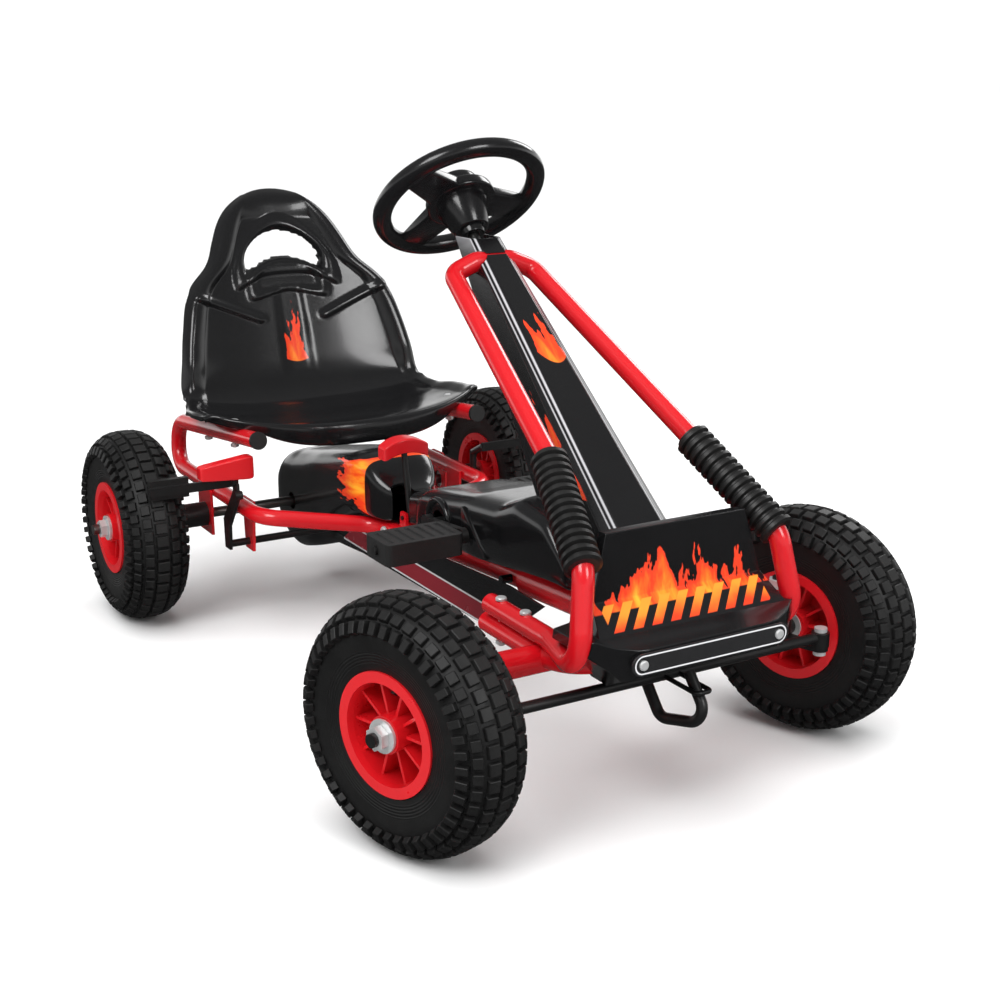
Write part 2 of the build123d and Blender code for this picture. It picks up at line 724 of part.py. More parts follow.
def tie_bar():
    """Bar between the steering arms, an eye at either end and the loop for the steering crank."""
    turn = radians(steer_rest)
    x = front_axle_x + crank_throw * cos(turn)
    shift = crank_throw * sin(turn)
    body = cross_bar(x, shift - kingpin_y, shift + kingpin_y, tie_bar_z, tie_bar_radius)
    low = 122 + arm_thickness + 0.3
    for side, clearance in ((-1, run_gap), (1, 0.3)):
        y = shift + side * kingpin_y
        body += rod((x, y, low), (x, y, tie_bar_z + tie_bar_radius), 10)
        body -= rod((x, y, 100), (x, y, 170), tie_pin_radius + clearance)
    half = rod_radius + 0.4 + loop_wire
    points = [(x + 2, shift - half, tie_bar_z), (x + 58, shift - half, tie_bar_z),
              (x + 58, shift + half, tie_bar_z), (x + 2, shift + half, tie_bar_z)]
    return body + bent_tube(points, [5, 5], loop_wire)


# ---- seat and covers -----------------------------------------------------------------------
def plan_prism(points, z0, z1):
    """An outline in plan, mirrored about the middle, made into a prism."""
    outline = [*points, *[(x, -y) for x, y in reversed(points) if y]]
    return at(extrude(Plane.XY * make_face(Polyline(*outline, close=True)), amount=z1 - z0), z=z0)


def front_prism(points, x0, x1):
    """An outline seen from the front, mirrored about the middle, made into a prism."""
    outline = [*points, *[(-y, z) for y, z in reversed(points) if y]]
    face = Plane.YZ * make_face(Polyline(*outline, close=True))
    return at(extrude(face, amount=x1 - x0), x=x0)


def seat_shell():
    """Bucket seat: a pan over the seat tubes, a back with a hand hole, and side wings."""
    slope = (seat_tube_front_z - seat_tube_rear_z) / (seat_tube_front_x - curl_x)
    front_z = seat_tube_z(-262) + tube_radius + 0.6
    rear_z = seat_tube_z(-440) + tube_radius + 0.6
    under = [(-232, 249), (-240, 262), (-262, front_z), (-436, rear_z), (-452, rear_z + 8),
             (-472, 300), (-504, 425), (-532, 478), (-562, seat_top_z)]
    over = [(-553, seat_top_z), (-526, 474), (-498, 423), (-466, 300), (-448, rear_z + 12),
            (-434, rear_z + 5), (-262, front_z + 5), (-236, 265), (-227, 250)]
    ribbon = prism_xz([*under, *over], -seat_half_width, seat_half_width)
    pan = plan_prism([(-227, 0), (-232, 70), (-250, 130), (-280, 185), (-312, seat_half_width),
                      (-345, 208), (-400, 196), (-446, 184), (-600, 184)], 200, 286)
    back = front_prism([(0, 285), (184, 285), (172, 357), (160, 405), (150, 428), (128, 440),
                        (110, 470), (101, 503), (82, 533), (50, 555), (0, seat_top_z)], -600, -400)
    shell = ribbon & (pan + back)
    hole = front_prism([(0, 466), (30, 463), (hand_hole_half - 8, 455), (hand_hole_half, 459),
                        (hand_hole_half - 6, 480), (hand_hole_half - 26, 497), (0, 503)], -600, -400)
    shell -= hole
    for side in (-1, 1):
        wing = Pos(-472, side * 169, 356) * Rot(side * 12.4, -14.5, 0) * Box(30, seat_wall, 132)
        rim = Pos(-356, side * 198, seat_tube_z(-356) + 17) * Rot(0, 0, -side * 7)
        shell += wing + rim * Rot(0, 6, 0) * Box(110, seat_wall, 12)
    shell -= side_tube(0.3) + mirrored(side_tube(0.3))
    return drill(shell, seat_bolt_places(), seat_bolt_radius)


def seat_bolts():
    """Domed bolts down through the seat and its tubes, each with a nut below."""
    pieces = []
    for x, y in seat_bolt_places():
        top = seat_tube_z(x) + tube_radius + 6.5
        low = seat_tube_z(x) - tube_radius - 1.2
        pieces.append(bolt((x, y, top), (x, y, low - 5), seat_bolt_radius, 7, 4))
        pieces.append(hex_nut(x, y, low, (0, 0, -1), 10, 4, seat_bolt_radius))
    return pieces


def tube_caps():
    """Caps pushed onto the open front ends of the seat tubes."""
    end = Vector(seat_tube_front_x, -seat_tube_y, seat_tube_front_z)
    along = (end - Vector(curl_x, -168, seat_tube_rear_z)).normalized()
    cap = rod(end + along * 0.1, end + along * 5, tube_radius + 0.8)
    piece = cap + rod(end - along * 12, end + along, tube_radius - tube_wall - 0.1)
    return [piece, mirrored(piece)]


def cover_section(z, grow, back):
    """Level section of the column cover; `back` moves its open rear edge."""
    drop = 548 - z
    x0 = 52 + 0.8417 * drop - back
    x1 = 94 + 1.189 * drop + grow
    y = 20 + 0.081 * drop + grow
    bevel = 8 + 0.03 * drop
    points = [(x0, -y), (x1 - bevel, -y), (x1, -y + bevel), (x1, y - bevel), (x1 - bevel, y), (x0, y)]
    return at(make_face(Polyline(*points, close=True)), z=z)


def cover_body(grow, back, low, high):
    return loft([cover_section(high, grow, back), cover_section(low, grow, back)])


def column_cover():
    """Tapered cover in front of the steering rod, open at the back; the hoop passes through it."""
    shell = cover_body(0, 0, 268, 548) - cover_body(-shell_wall - 0.3, 30, 266, 550)
    return shell - hoop_path(tube_radius + 0.3)


def bellows(side):
    """Corrugated sleeve on a leg of the hoop."""
    start = Vector(bellows_start[0], side * bellows_start[1], bellows_start[2])
    end = Vector(bellows_end[0], side * bellows_end[1], bellows_end[2])
    length = (end - start).length
    step = length / bellows_ribs
    outline = [(0, 0)]
    for index in range(bellows_ribs):
        base = index * step
        outline += [(bellows_root_radius, base), (bellows_root_radius, base + 0.2 * step),
                    (bellows_radius, base + 0.4 * step), (bellows_radius, base + 0.8 * step)]
    outline += [(bellows_root_radius, length), (0, length)]
    body = revolve(Plane.XZ * make_face(Polyline(*outline, close=True)), axis=Axis.Z)
    placed = Plane(origin=start, z_dir=end - start).location * body
    return placed - hoop_path(tube_radius + 0.3)


def nose_solid(inset, reach):
    """Nose block as the overlap of its side, front and plan outlines."""
    side = [(464, 309), (470, 243), (499, 218.5), (513, 213), (524, 210), (524, 183), (500, 172),
            (452, 147), (424 - reach, 147), (424 - reach, 160), (452 - reach, 240), (452 - reach, 309)]
    front = [(0, 309 + 2 * inset), (84, 309 + 2 * inset), (102, 243), (112, 219), (129, 216), (128, 205),
             (106, 188), (84, 164), (70, 146), (0, 146)]
    plan = [(400 - reach, 0), (400 - reach, 129), (492, 129), (512, 104), (522, 84), (524, 70), (524, 0)]
    side_face = make_face(Polyline(*side, close=True))
    front_face = make_face(Polyline(*front, *[(-y, z) for y, z in reversed(front) if y], close=True))
    plan_face = make_face(Polyline(*plan, *[(x, -y) for x, y in reversed(plan) if y], close=True))
    if inset:
        side_face = offset(side_face, amount=-inset)
        front_face = offset(front_face, amount=-inset)
        plan_face = offset(plan_face, amount=-inset)
    block = at(extrude(Plane.XZ * side_face, amount=400, dir=(0, 1, 0)), y=-200)
    block = block & at(extrude(Plane.YZ * front_face, amount=400), x=200)
    return block & extrude(Plane.XY * plan_face, amount=400)


def nose_fairing():
    """Thin nose shell, open at the back, notched round the hoop and resting on the bumper tube."""
    shell = nose_solid(0, 0) - nose_solid(shell_wall, 60)
    for side in (-1, 1):
        lug = at(Box(16, 10, 14), 436, side * 52, 154)
        shell += lug
    shell -= bumper_bend_tube(tube_radius + 0.3)
    shell -= hoop_path(tube_radius + 0.3)
    for side in (-1, 1):
        shell -= cross_bar_x(510, 540, side * 72, 197, 2.05)
    return shell


def cross_bar_x(x0, x1, y, z, radius):
    """A round bar along X."""
    return rod((x0, y, z), (x1, y, z), radius)


def number_plate():
    """Long plate with rounded ends on the nose's front band."""
    plate = at(Box(2.5, 144, 22), 525.5, 0, 197)
    for side in (-1, 1):
        plate += cross_bar_x(524.25, 526.75, side * 72, 197, 11)
    for side in (-1, 1):
        plate -= cross_bar_x(510, 540, side * 72, 197, 2.05)
    return plate


def plate_screws():
    pieces = []
    for side in (-1, 1):
        pieces.append(bolt((526.75, side * 72, 197), (518, side * 72, 197), 2, 5, 2.5))
    return pieces


def case_outline():
    """Side outline of the chain case in front of its drum."""
    top = [(rear_axle_x, axle_z + drum_radius), (-300, 222), (-182, 246), (-160, 247), (-140, 239),
           (-112, 214), (-96, 207), (30, 232)]
    low = [(30, 178), (-96, 160), (-196, 158), (-268, 128), (-300, 120), (rear_axle_x, 62)]
    return [*top, *low]


def case_solid(inset):
    """The case: a drum round the axle, a wide body and a narrow neck over the beam."""
    outline = make_face(Polyline(*case_outline(), close=True))
    drum = Pos(rear_axle_x, axle_z) * Circle(drum_radius)
    face = outline + drum
    wide = Pos(-270, 150) * Rectangle(350, 400)
    neck = Pos(-40, 150) * Rectangle(150, 400)
    body = None
    for part_face, half in ((face & wide, case_half_width), (face & neck, case_neck_half)):
        if inset:
            part_face = offset(part_face, amount=-inset)
        half = half - inset
        block = at(extrude(Plane.XZ * part_face, amount=2 * half, dir=(0, 1, 0)), y=-half)
        body = block if body is None else body + block
    return body


def chain_case():
    """Thin case over the chain, open to the pedal cover and notched over the rails and the beam."""
    shell = case_solid(0) - case_solid(shell_wall)
    shell -= chain_loop(chain_height / 2 + 3, 12)
    shell -= side_tube(0.3) + mirrored(side_tube(0.3)) + beam_bar(beam_rear_x, beam_end_x, beam_radius + 0.3)
    shell -= cross_bar(rear_axle_x, -100, 100, axle_z, 12)
    shell -= at(Box(44, 24, 90), shift_x - 6, shift_y - 3, 191)
    shell -= cross_bar(rail_bolt_x, -100, 100, beam_z(rail_bolt_x) + rail_lift, 10)
    return shell


def cover_outline():
    """Side outline of the pedal cover."""
    return [(26, 184), (24, 240), (60, 250), (120, 261), (160, 270), (231, 274), (244, 297), (319, 284),
            (352, 245), (367, 216), (265, 204), (165, 191)]


def pedal_cover():
    """Humped cover over the crank and the foot of the steering rod, open below."""
    face = make_face(Polyline(*cover_outline(), close=True))
    inner = offset(face, amount=-shell_wall) + Pos(190, 190) * Rot(0, 0, 5) * Rectangle(316, 40)
    half = cover_half_width
    block = at(extrude(Plane.XZ * face, amount=2 * half, dir=(0, 1, 0)), y=-half)
    block = chamfer(block.edges().filter_by(Axis.Y).sort_by(Axis.Z)[-4:], 3)
    half = half - shell_wall
    hollow = at(extrude(Plane.XZ * (inner & face), amount=2 * half, dir=(0, 1, 0)), y=-half)
    low = at(extrude(Plane.XZ * (Pos(190, 160) * Rectangle(400, 60)), amount=2 * half, dir=(0, 1, 0)), y=-half)
    shell = block - hollow - low
    web = front_prism([(0, 270), (66, 270), (66, 206), (32, 198), (25, 178), (0, 178)], 204, 207)
    shell += web
    shell -= beam_bar(beam_rear_x, beam_front_x - 8, sleeve_radius + 0.3)
    shell -= cover_body(0.5, 6, 240, 548)
    shell -= cross_bar(crank_x, -100, 100, crank_z, 14) + rod(column_point(150), column_point(300), 14)
    shell -= chain_loop(chain_height / 2 + 3, 12)
    return shell - case_solid(0)


def side_panel():
    """Long panel beside the beam, stood off from it on two bosses."""
    outline = [(-302, 88), (-200, 96), (129, 100), (236, 142), (267, 164), (190, 166), (-40, 150),
               (-48, 135), (-165, 134), (-236, 122), (-262, 103), (-302, 103)]
    panel = prism_xz(outline, -panel_y - 1.5, -panel_y + 1.5)
    for x in (10, 170):
        boss = cross_bar(x, -panel_y, -8, beam_z(x), 5)
        panel += boss - beam_bar(beam_rear_x, beam_end_x, beam_radius + 0.2)
    return panel


# ---- levers --------------------------------------------------------------------------------
def brake_lever():
    """Cross shaft, a bent plate up to the grip on the right, a rod on the left, and the pad bars."""
    x, z = brake_shaft_x, brake_shaft_z
    body = cross_bar(x, -brake_arm_y - 2, brake_arm_y + 5, z, brake_rod_radius)
    outline = [(x - 9, z - 6), (x + 9, z - 6), (-274, 140), (-236, 188), (-239, 207), (-256, 207),
               (-253, 196), (-296, 146)]
    body += prism_xz(outline, -brake_arm_y - 2, -brake_arm_y + 2)
    body += rod((x, brake_arm_y, z), (-283, brake_arm_y, 196), brake_rod_radius)
    body += rod((-283, brake_arm_y, 193), (-253, brake_arm_y, brake_pad_z), brake_rod_radius)
    body += cross_bar(-237, -brake_arm_y - 6, -brake_arm_y + 4, 192, 6)
    for side in (-1, 1):
        bar = at(Box(5, 118, 12), brake_grip_x - 3, side * (brake_arm_y + 57), brake_pad_z - 1)
        body += bar
    post = rod((brake_grip_x, -brake_arm_y, 203), (brake_grip_x, -brake_arm_y, brake_grip_z + 4), 5)
    return body + post


def brake_pads():
    """Rubber blocks that face the rear tyres."""
    pieces = []
    for side in (-1, 1):
        pieces.append(at(Box(9, 52, 26), -260, side * 277, brake_pad_z))
    return pieces


def grip(depth, half, height, neck_radius, shift=0.0):
    """A T handle with soft edges about its post, which comes up from below."""
    bar = fillet(Box(depth, 2 * half, height).edges(), min(depth, height) * 0.42)
    return at(bar, y=shift) + at(Cylinder(neck_radius, 6), z=-height / 2)


def brake_grip():
    """T grip on the brake's post."""
    x, y, z = brake_grip_x, -brake_arm_y, brake_grip_z
    return at(grip(20, 37, 20, 9, brake_grip_shift), x, y, z) - rod((x, y, z - 40), (x, y, z + 4), 5)


def shift_lever():
    """Lever on its pin, beside the chain."""
    eye = cross_bar(shift_x, shift_y - 5, shift_y + 3, shift_pivot_z, 7)
    pin = cross_bar(shift_x, shift_y - 13, shift_y + 3, shift_pivot_z, 3)
    return eye + pin + shift_post(0, 4)


def shift_post(start, radius):
    """The lever's post, which leans back a little; the start is a height above its pin."""
    lean = (shift_grip_x - shift_x) / (shift_grip_z - shift_pivot_z)
    low = (shift_x + lean * start, shift_y, shift_pivot_z + start)
    return rod(low, (shift_grip_x, shift_y, shift_grip_z), radius)


def shift_grip():
    """T grip on the shift lever."""
    return at(grip(19, 32, 15, 8), shift_grip_x, shift_y, shift_grip_z) - shift_post(40, 4)


# ---- build ---------------------------------------------------------------------------------
def main():
    os.makedirs(parts_folder, exist_ok=True)
    wheel_sets()
    save("front_frame", cross_tube())
    save("rear_beam", rear_beam())
    save("bumper_tube", *bumper_tube())
    right_tube = drill(side_tube(), seat_bolt_places(), seat_bolt_radius, 220, 300)
    right_tube -= cross_bar(rail_bolt_x, -60, 60, beam_z(rail_bolt_x) + rail_lift, 4.05)
    save("side_tube_right", right_tube)
    save("side_tube_left", mirrored(right_tube))
    save("steering_hoop", steering_hoop())
    save("frame_plates", *frame_plates())
    save("axle_sleeves", *axle_sleeves())
    save("axle_bearings", *axle_bearings())
    save("drive_brackets", *drive_brackets())
    save("bushes", *column_bushes(), *crank_bushes())
    save("frame_bolts", *frame_bolts())
    save("chain", *chain())
    save("seat_shell", seat_shell())
    save("seat_bolts", *seat_bolts())
    save("tube_caps", *tube_caps())
    save("nose_fairing", nose_fairing())
    save("number_plate", number_plate())
    save("plate_screws", *plate_screws())
    save("column_cover", column_cover())
    save("bellows", bellows(-1), bellows(1))
    save("pedal_cover", pedal_cover())
    save("chain_case", chain_case())
    save("side_panel", side_panel())
    save("steering_column", steering_column())
    save("steering_wheel", steering_wheel())
    save("steering_cap", *steering_cap())
    save("knuckle_right", knuckle(-1))
    save("knuckle_left", knuckle(1))
    save("knuckle_fasteners_right", *knuckle_fasteners(-1))
    save("knuckle_fasteners_left", *knuckle_fasteners(1))
    save("tie_bar", tie_bar())
    save("rear_axle", rear_axle())
    save("rear_sprocket", sprocket(rear_axle_x, axle_z, rear_teeth, axle_radius))
    save("axle_nuts", *axle_nuts())
    save("crank", crank())
    save("front_sprocket", sprocket(crank_x, crank_z, front_teeth, crank_rod_radius))
    save("pedal_right", pedal(-1))
    save("pedal_left", pedal(1))
    save("brake_lever", brake_lever())
    save("brake_grip", brake_grip())
    save("brake_pads", *brake_pads())
    save("shift_lever", shift_lever())
    save("shift_grip", shift_grip())


main()
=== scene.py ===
# %% [markdown]
# # A child's pedal go kart
# The kart was first drawn as solids, and those solids are loaded here as a frame. They keep their
# place and their joints; this lesson gives them finishes and swaps the plainest ones for better
# shapes. Units are metres, +X is forward, +Y is the driver's left and +Z is up.

from math import cos, pi, radians, sin

import bpy
from mathutils import Matrix, Vector


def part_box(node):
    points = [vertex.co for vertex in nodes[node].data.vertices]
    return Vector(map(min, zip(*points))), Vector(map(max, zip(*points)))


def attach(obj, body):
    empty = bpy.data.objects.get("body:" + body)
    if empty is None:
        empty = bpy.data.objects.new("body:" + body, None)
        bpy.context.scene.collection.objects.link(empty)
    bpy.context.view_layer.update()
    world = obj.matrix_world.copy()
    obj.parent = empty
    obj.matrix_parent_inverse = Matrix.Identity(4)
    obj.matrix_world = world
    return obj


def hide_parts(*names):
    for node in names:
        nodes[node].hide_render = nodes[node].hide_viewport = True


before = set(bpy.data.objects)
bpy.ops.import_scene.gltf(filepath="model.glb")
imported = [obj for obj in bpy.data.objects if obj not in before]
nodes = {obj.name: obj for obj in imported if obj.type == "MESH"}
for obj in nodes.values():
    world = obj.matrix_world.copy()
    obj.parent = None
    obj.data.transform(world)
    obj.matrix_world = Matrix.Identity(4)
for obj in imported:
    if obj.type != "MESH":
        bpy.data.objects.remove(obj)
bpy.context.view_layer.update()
print("pieces in the frame:", len(nodes))

# %% [markdown]
# ## Places that several pieces share
# The axles, the crank and the steering column are where the solids have them. Each place is named
# once here, because a wheel, a cover and a hole must all agree on it.

# %% Shared places
axle_height = 0.130
front_axle_x = 0.3835
rear_axle_x = -0.3835
crank_axis = (0.092, 0, 0.222)
column_tilt = radians(40.3)
column_line = (-sin(column_tilt), 0, cos(column_tilt))
steer_rest = radians(17)
wheel_turn = radians(22)
print("wheelbase:", front_axle_x - rear_axle_x, "m")

# %% [markdown]
# ## Working with colours as arithmetic
# A finish is never one flat value. Paint is a little rougher where hands and shoes touch it, and
# rubber is dusty. Such changes are written as sums and products of patterns, so a small class lets
# Python's own operators place the Math nodes.

# %% A shader number that understands + - * /
class Value:
    """A number or colour that varies over a surface."""

    def __init__(self, finish, socket):
        self.finish = finish
        self.socket = socket

    def math(self, operation, *others):
        return self.finish.node("Math", {"operation": operation}, [self, *others])

    def __add__(self, other):
        return self.math("ADD", other)

    __radd__ = __add__

    def __sub__(self, other):
        return self.math("SUBTRACT", other)

    def __rsub__(self, other):
        return self.finish.node("Math", {"operation": "SUBTRACT"}, [other, self])

    def __mul__(self, other):
        return self.math("MULTIPLY", other)

    __rmul__ = __mul__

    def __truediv__(self, other):
        return self.math("DIVIDE", other)

    def size(self):
        return self.math("ABSOLUTE")

    def step(self, low, high):
        """A smooth rise from 0 at the low value to 1 at the high one."""
        settings = {"clamp": True, "interpolation_type": "SMOOTHSTEP"}
        return self.finish.node("MapRange", settings, [self, low, high, 0.0, 1.0])

    def below(self, edge, soft=0.0005):
        """1 where this is under the edge, 0 above it, with a soft step between."""
        low, high = edge - soft, edge + soft
        return self.finish.node("MapRange", {"clamp": True}, [self, low, high, 1.0, 0.0])


print("a value:", Value.__doc__)

# %% A node tree to build in
class Patterns:
    """Adds nodes to one tree."""

    def __init__(self, tree):
        self.tree = tree

    def node(self, kind, settings=None, inputs=(), output=0):
        """Adds one node: its settings first, then the values or links of its sockets."""
        made = self.tree.nodes.new("ShaderNode" + kind)
        for key, value in (settings or {}).items():
            if key == "stops":
                ramp = made.color_ramp
                for index, (place, colour) in enumerate(value):
                    if index < 2:
                        stop = ramp.elements[index]
                        stop.position = place
                    else:
                        stop = ramp.elements.new(place)
                    stop.color = (*colour, 1.0)
            else:
                setattr(made, key, value)
        pairs = inputs.items() if isinstance(inputs, dict) else enumerate(inputs)
        for key, value in pairs:
            if isinstance(value, Value):
                self.tree.links.new(value.socket, made.inputs[key])
            else:
                made.inputs[key].default_value = value
        return Value(self, made.outputs[output])

    def place(self, centre=(0, 0, 0), turn=(0, 0, 0)):
        """Object coordinates, moved so that the pattern is centred on a point of the piece."""
        spot = self.node("TexCoord", output="Object")
        settings = {"vector_type": "TEXTURE"}
        inputs = {"Vector": spot, "Location": centre, "Rotation": turn}
        return self.node("Mapping", settings, inputs)

    def axes(self, spot):
        """The x, y and z of a position."""
        split = self.node("SeparateXYZ", inputs=[spot])
        sockets = split.socket.node.outputs
        return [Value(self, socket) for socket in sockets]

    def noise(self, spot, scale, detail=3.0):
        return self.node("TexNoise", {}, {"Vector": spot, "Scale": scale, "Detail": detail})

    def mix(self, share, first, second):
        """A colour between two, by a share from 0 to 1."""
        first = first if isinstance(first, Value) else (*first, 1.0)
        second = second if isinstance(second, Value) else (*second, 1.0)
        made = self.node("Mix", {"data_type": "RGBA"}, {0: share, 6: first, 7: second})
        return Value(self, made.socket.node.outputs[2])


print("patterns:", Patterns.__doc__)

# %% A finish: one material, built node by node
class Finish(Patterns):
    """A principled material whose varying inputs are fed by patterns."""

    def __init__(self, name, base, roughness, **fixed):
        self.material = bpy.data.materials.new(name)
        self.material.use_nodes = True
        super().__init__(self.material.node_tree)
        self.shader = self.tree.nodes["Principled BSDF"]
        self.shader.inputs["Base Color"].default_value = (*base, 1.0)
        self.shader.inputs["Roughness"].default_value = roughness
        for key, value in fixed.items():
            self.shader.inputs[key.replace("_", " ")].default_value = value

    def feed(self, name, value):
        """Links a pattern to one of the shader's own inputs."""
        self.tree.links.new(value.socket, self.shader.inputs[name])

    def paint_over(self, share, colour):
        """Lays a colour over what the finish shows so far, by a share from 0 to 1."""
        so_far = Value(self, self.shader.inputs["Base Color"].links[0].from_socket)
        self.feed("Base Color", self.mix(share, so_far, colour))

    def bump(self, height, distance, strength=1.0):
        """A relief of that many metres, from a 0 to 1 height."""
        inputs = {"Height": height, "Distance": distance, "Strength": strength}
        self.feed("Normal", self.node("Bump", {}, inputs))

    def wear(self, spot, base, worn, roughness, spread, scale=9.0):
        """Slow drift of colour and roughness, which every handled surface has."""
        drift = self.noise(spot, scale)
        fine = self.noise(spot, scale * 14, 2.0)
        self.feed("Base Color", self.mix(drift * 0.55 + fine * 0.25, base, worn))
        self.feed("Roughness", drift * spread + fine * (spread * 0.5) + (roughness - spread * 0.75))
        return fine


print("a finish:", Finish.__doc__)

# %% [markdown]
# ## Painted, plated and moulded finishes
# The tubes are powder coated, which leaves a faint orange peel under a high gloss. The seat and the
# covers are glossy moulded plastic: smoother, but with fine scuffs that show as rougher patches.
# Both are made with a clear coat over a slightly varied base, because a single roughness looks like
# a toy render and not like a toy.

# %% Gloss and satin finishes
PEEL_GRAIN = 420.0


def glossy(name, base, worn, roughness, spread, coat, peel, scale=9.0, **fixed):
    """A finish with drifting colour and roughness and a fine relief; the peel is in metres."""
    finish = Finish(name, base, roughness, Coat_Roughness=0.08, **fixed)
    finish.shader.inputs["Coat Weight"].default_value = coat
    spot = finish.place()
    fine = finish.wear(spot, base, worn, roughness, spread, scale)
    finish.bump(finish.noise(spot, PEEL_GRAIN, 2.0) + fine * 0.5, peel)
    return finish


print("glossy finishes have grain of about", round(1000 / PEEL_GRAIN, 1), "mm")

# %% The plain finishes of the kart
BLACK, WORN_BLACK = (0.004, 0.004, 0.0045), (0.008, 0.008, 0.0085)
red_paint = glossy("red_powder_coat", (0.60, 0.006, 0.012), (0.48, 0.004, 0.008), 0.24, 0.10,
                   0.55, 0.00012)
red_plastic = glossy("red_rim_plastic", (0.66, 0.010, 0.016), (0.54, 0.006, 0.010), 0.30, 0.12,
                     0.25, 0.0001)
black_plastic = glossy("black_gloss_plastic", BLACK, WORN_BLACK, 0.20, 0.12, 0.35, 0.00006)
black_paint = glossy("black_satin_paint", (0.006, 0.006, 0.0065), (0.012, 0.0115, 0.011), 0.38,
                     0.16, 0.10, 0.0001)
matt_plastic = glossy("black_matt_plastic", (0.008, 0.008, 0.0085), (0.018, 0.0175, 0.017), 0.52,
                      0.16, 0.0, 0.0002)
dark_rubber = glossy("bellows_rubber", (0.006, 0.006, 0.006), (0.014, 0.0135, 0.013), 0.42, 0.16,
                     0.0, 0.0002)
zinc = glossy("zinc_plate", (0.74, 0.75, 0.76), (0.56, 0.56, 0.55), 0.34, 0.20, 0.0, 0.00015,
              30.0, Metallic=0.55)
steel = glossy("oiled_steel", (0.30, 0.30, 0.30), (0.20, 0.19, 0.17), 0.38, 0.20, 0.0, 0.00015,
               30.0, Metallic=1.0)
print("plain finishes:", len(bpy.data.materials))

# %% [markdown]
# ## Flames
# The covers carry printed flames. A flame is a body that is hottest low down and breaks into
# tongues higher up, so the print is made from a height field: the distance up the flame, pushed up
# and down by stretched noise. Where the result stays under a limit there is ink, and how far under
# decides between yellow, orange and red.

# %% A printed flame on any finish
def flame(finish, across, along, length, width, reach, scale):
    """Ink share and ink colour of flames that rise along one direction."""
    stretched = finish.node("CombineXYZ", inputs=[across * scale, along * (scale * 0.33), 0.0])
    tongues = finish.noise(stretched, 1.0, 4.0)
    curl = finish.noise(stretched, 2.6, 3.0)
    heat = along / length + (across / width).math("POWER", 2.0) * 0.55
    heat = heat - (tongues - 0.5) * 2.3 * reach - (curl - 0.5) * 0.7
    ink = heat.below(0.42, 0.012)
    # a new ramp has two stops, so the middle one is added last
    yellow, red, orange = (0.95, 0.42, 0.03), (0.83, 0.05, 0.012), (0.90, 0.16, 0.015)
    stops = [(0.0, yellow), (0.55, red), (0.32, orange)]
    colour = finish.node("ValToRGB", {"stops": stops}, [heat + 0.25])
    return ink, colour


def printed(name, centre, along_axis, length, width, low, high, reach, scale, bow=0.0):
    """Black gloss plastic with a flame print inside a band along one axis."""
    finish = glossy(name, BLACK, WORN_BLACK, 0.20, 0.12, 0.35, 0.00006)
    x, y, z = finish.axes(finish.place(centre))
    across, along = {"z": (y, z), "xz": (z, x)}[along_axis]
    ink, colour = flame(finish, across, along, length, width, reach, scale)
    foot = along - across * across * bow
    inside = along.below(high) * (1 - foot.below(low)) * across.size().below(width)
    finish.paint_over(ink * inside, colour)
    return finish


print("a flame:", flame.__doc__)

# %% The flames on nose, column, chain case and seat
nose_print = printed("nose_print", (0.48, 0, 0.232), "z", 0.080, 0.125, 0.003, 0.075, 0.9, 46.0)
column_print = printed("column_print", (0.20, 0.006, 0.428), "z", 0.10, 0.022, 0.0, 0.10, 0.6,
                       52.0, bow=30.0)
case_print = printed("case_print", (-0.142, 0, 0.200), "xz", -0.155, 0.046, -0.26, -0.002, 1.0,
                     44.0)
seat_print = printed("seat_print", (-0.48, 0, 0.316), "z", 0.15, 0.019, 0.0, 0.100, 0.5, 52.0,
                     bow=14.0)
print("flame prints made")

# %% [markdown]
# ## Lines and side flames of the column cover
# The cover widens downwards, and two pale lines run down beside its front face. They are drawn from
# the distance to that face's edge, which is a straight function of height, so they follow the
# taper. More flames stand low on its sides and lean along its rear edge.

# %% Draw on the column cover
COVER_TOP = 0.548
x, y, z = column_print.axes(column_print.place())
drop = COVER_TOP - z
edge = y.size() - drop * 0.051 - 0.012
lines = (edge - 0.0035).size().below(0.0009) + (edge - 0.0075).size().below(0.0005)
column_print.paint_over(lines, (0.50, 0.50, 0.52))
FLAME_FOOT = 0.31
behind = drop * 1.189 + 0.094 - x
up = z - FLAME_FOOT
ink, colour = flame(column_print, behind - 0.045, up, 0.20, 0.035, 0.8, 34.0)
side_face = 1 - (y.size() - drop * 0.081 - 0.0195).below(0.0)
column_print.paint_over(ink * side_face * (1 - up.below(0.0)), colour)
print("column cover drawn on, down from", COVER_TOP)

# %% [markdown]
# ## Bars on the nose
# The nose's lower slope carries bright marks under its flames. A generic row of slanted bars stands
# there: a sine wave across the kart, leaned by adding some of the forward direction, and cut off
# where it passes a limit. The bars are paler at the top.

# %% Draw the bars
SLOPE_X, SLOPE_Z, BAR_RATE = 0.4845, 0.2285, 285.0
x, y, z = nose_print.axes(nose_print.place())
slope = (x - SLOPE_X).size().below(0.0115) * (z - SLOPE_Z).size().below(0.0125)
slope = slope * y.size().below(0.096)
bars = ((y + x * 1.1) * BAR_RATE).math("SINE").below(0.10, 0.06)
heat = (z - SLOPE_Z) * 40.0 + nose_print.noise(nose_print.place(), 22.0)
warm = nose_print.mix(heat.step(0.1, 0.9), (0.78, 0.045, 0.012), (0.92, 0.30, 0.03))
nose_print.paint_over(slope * bars, warm)
print("bars every", round(2000 * pi / BAR_RATE), "mm")

# %% [markdown]
# ## Panel and plate
# The long panel beside the beam is black with a dark red field inside a pale line; the plate on the
# nose is black with a bright border. Both are drawn from the distance to their own outlines, so the
# lines stay crisp at any size. No lettering is put on either.

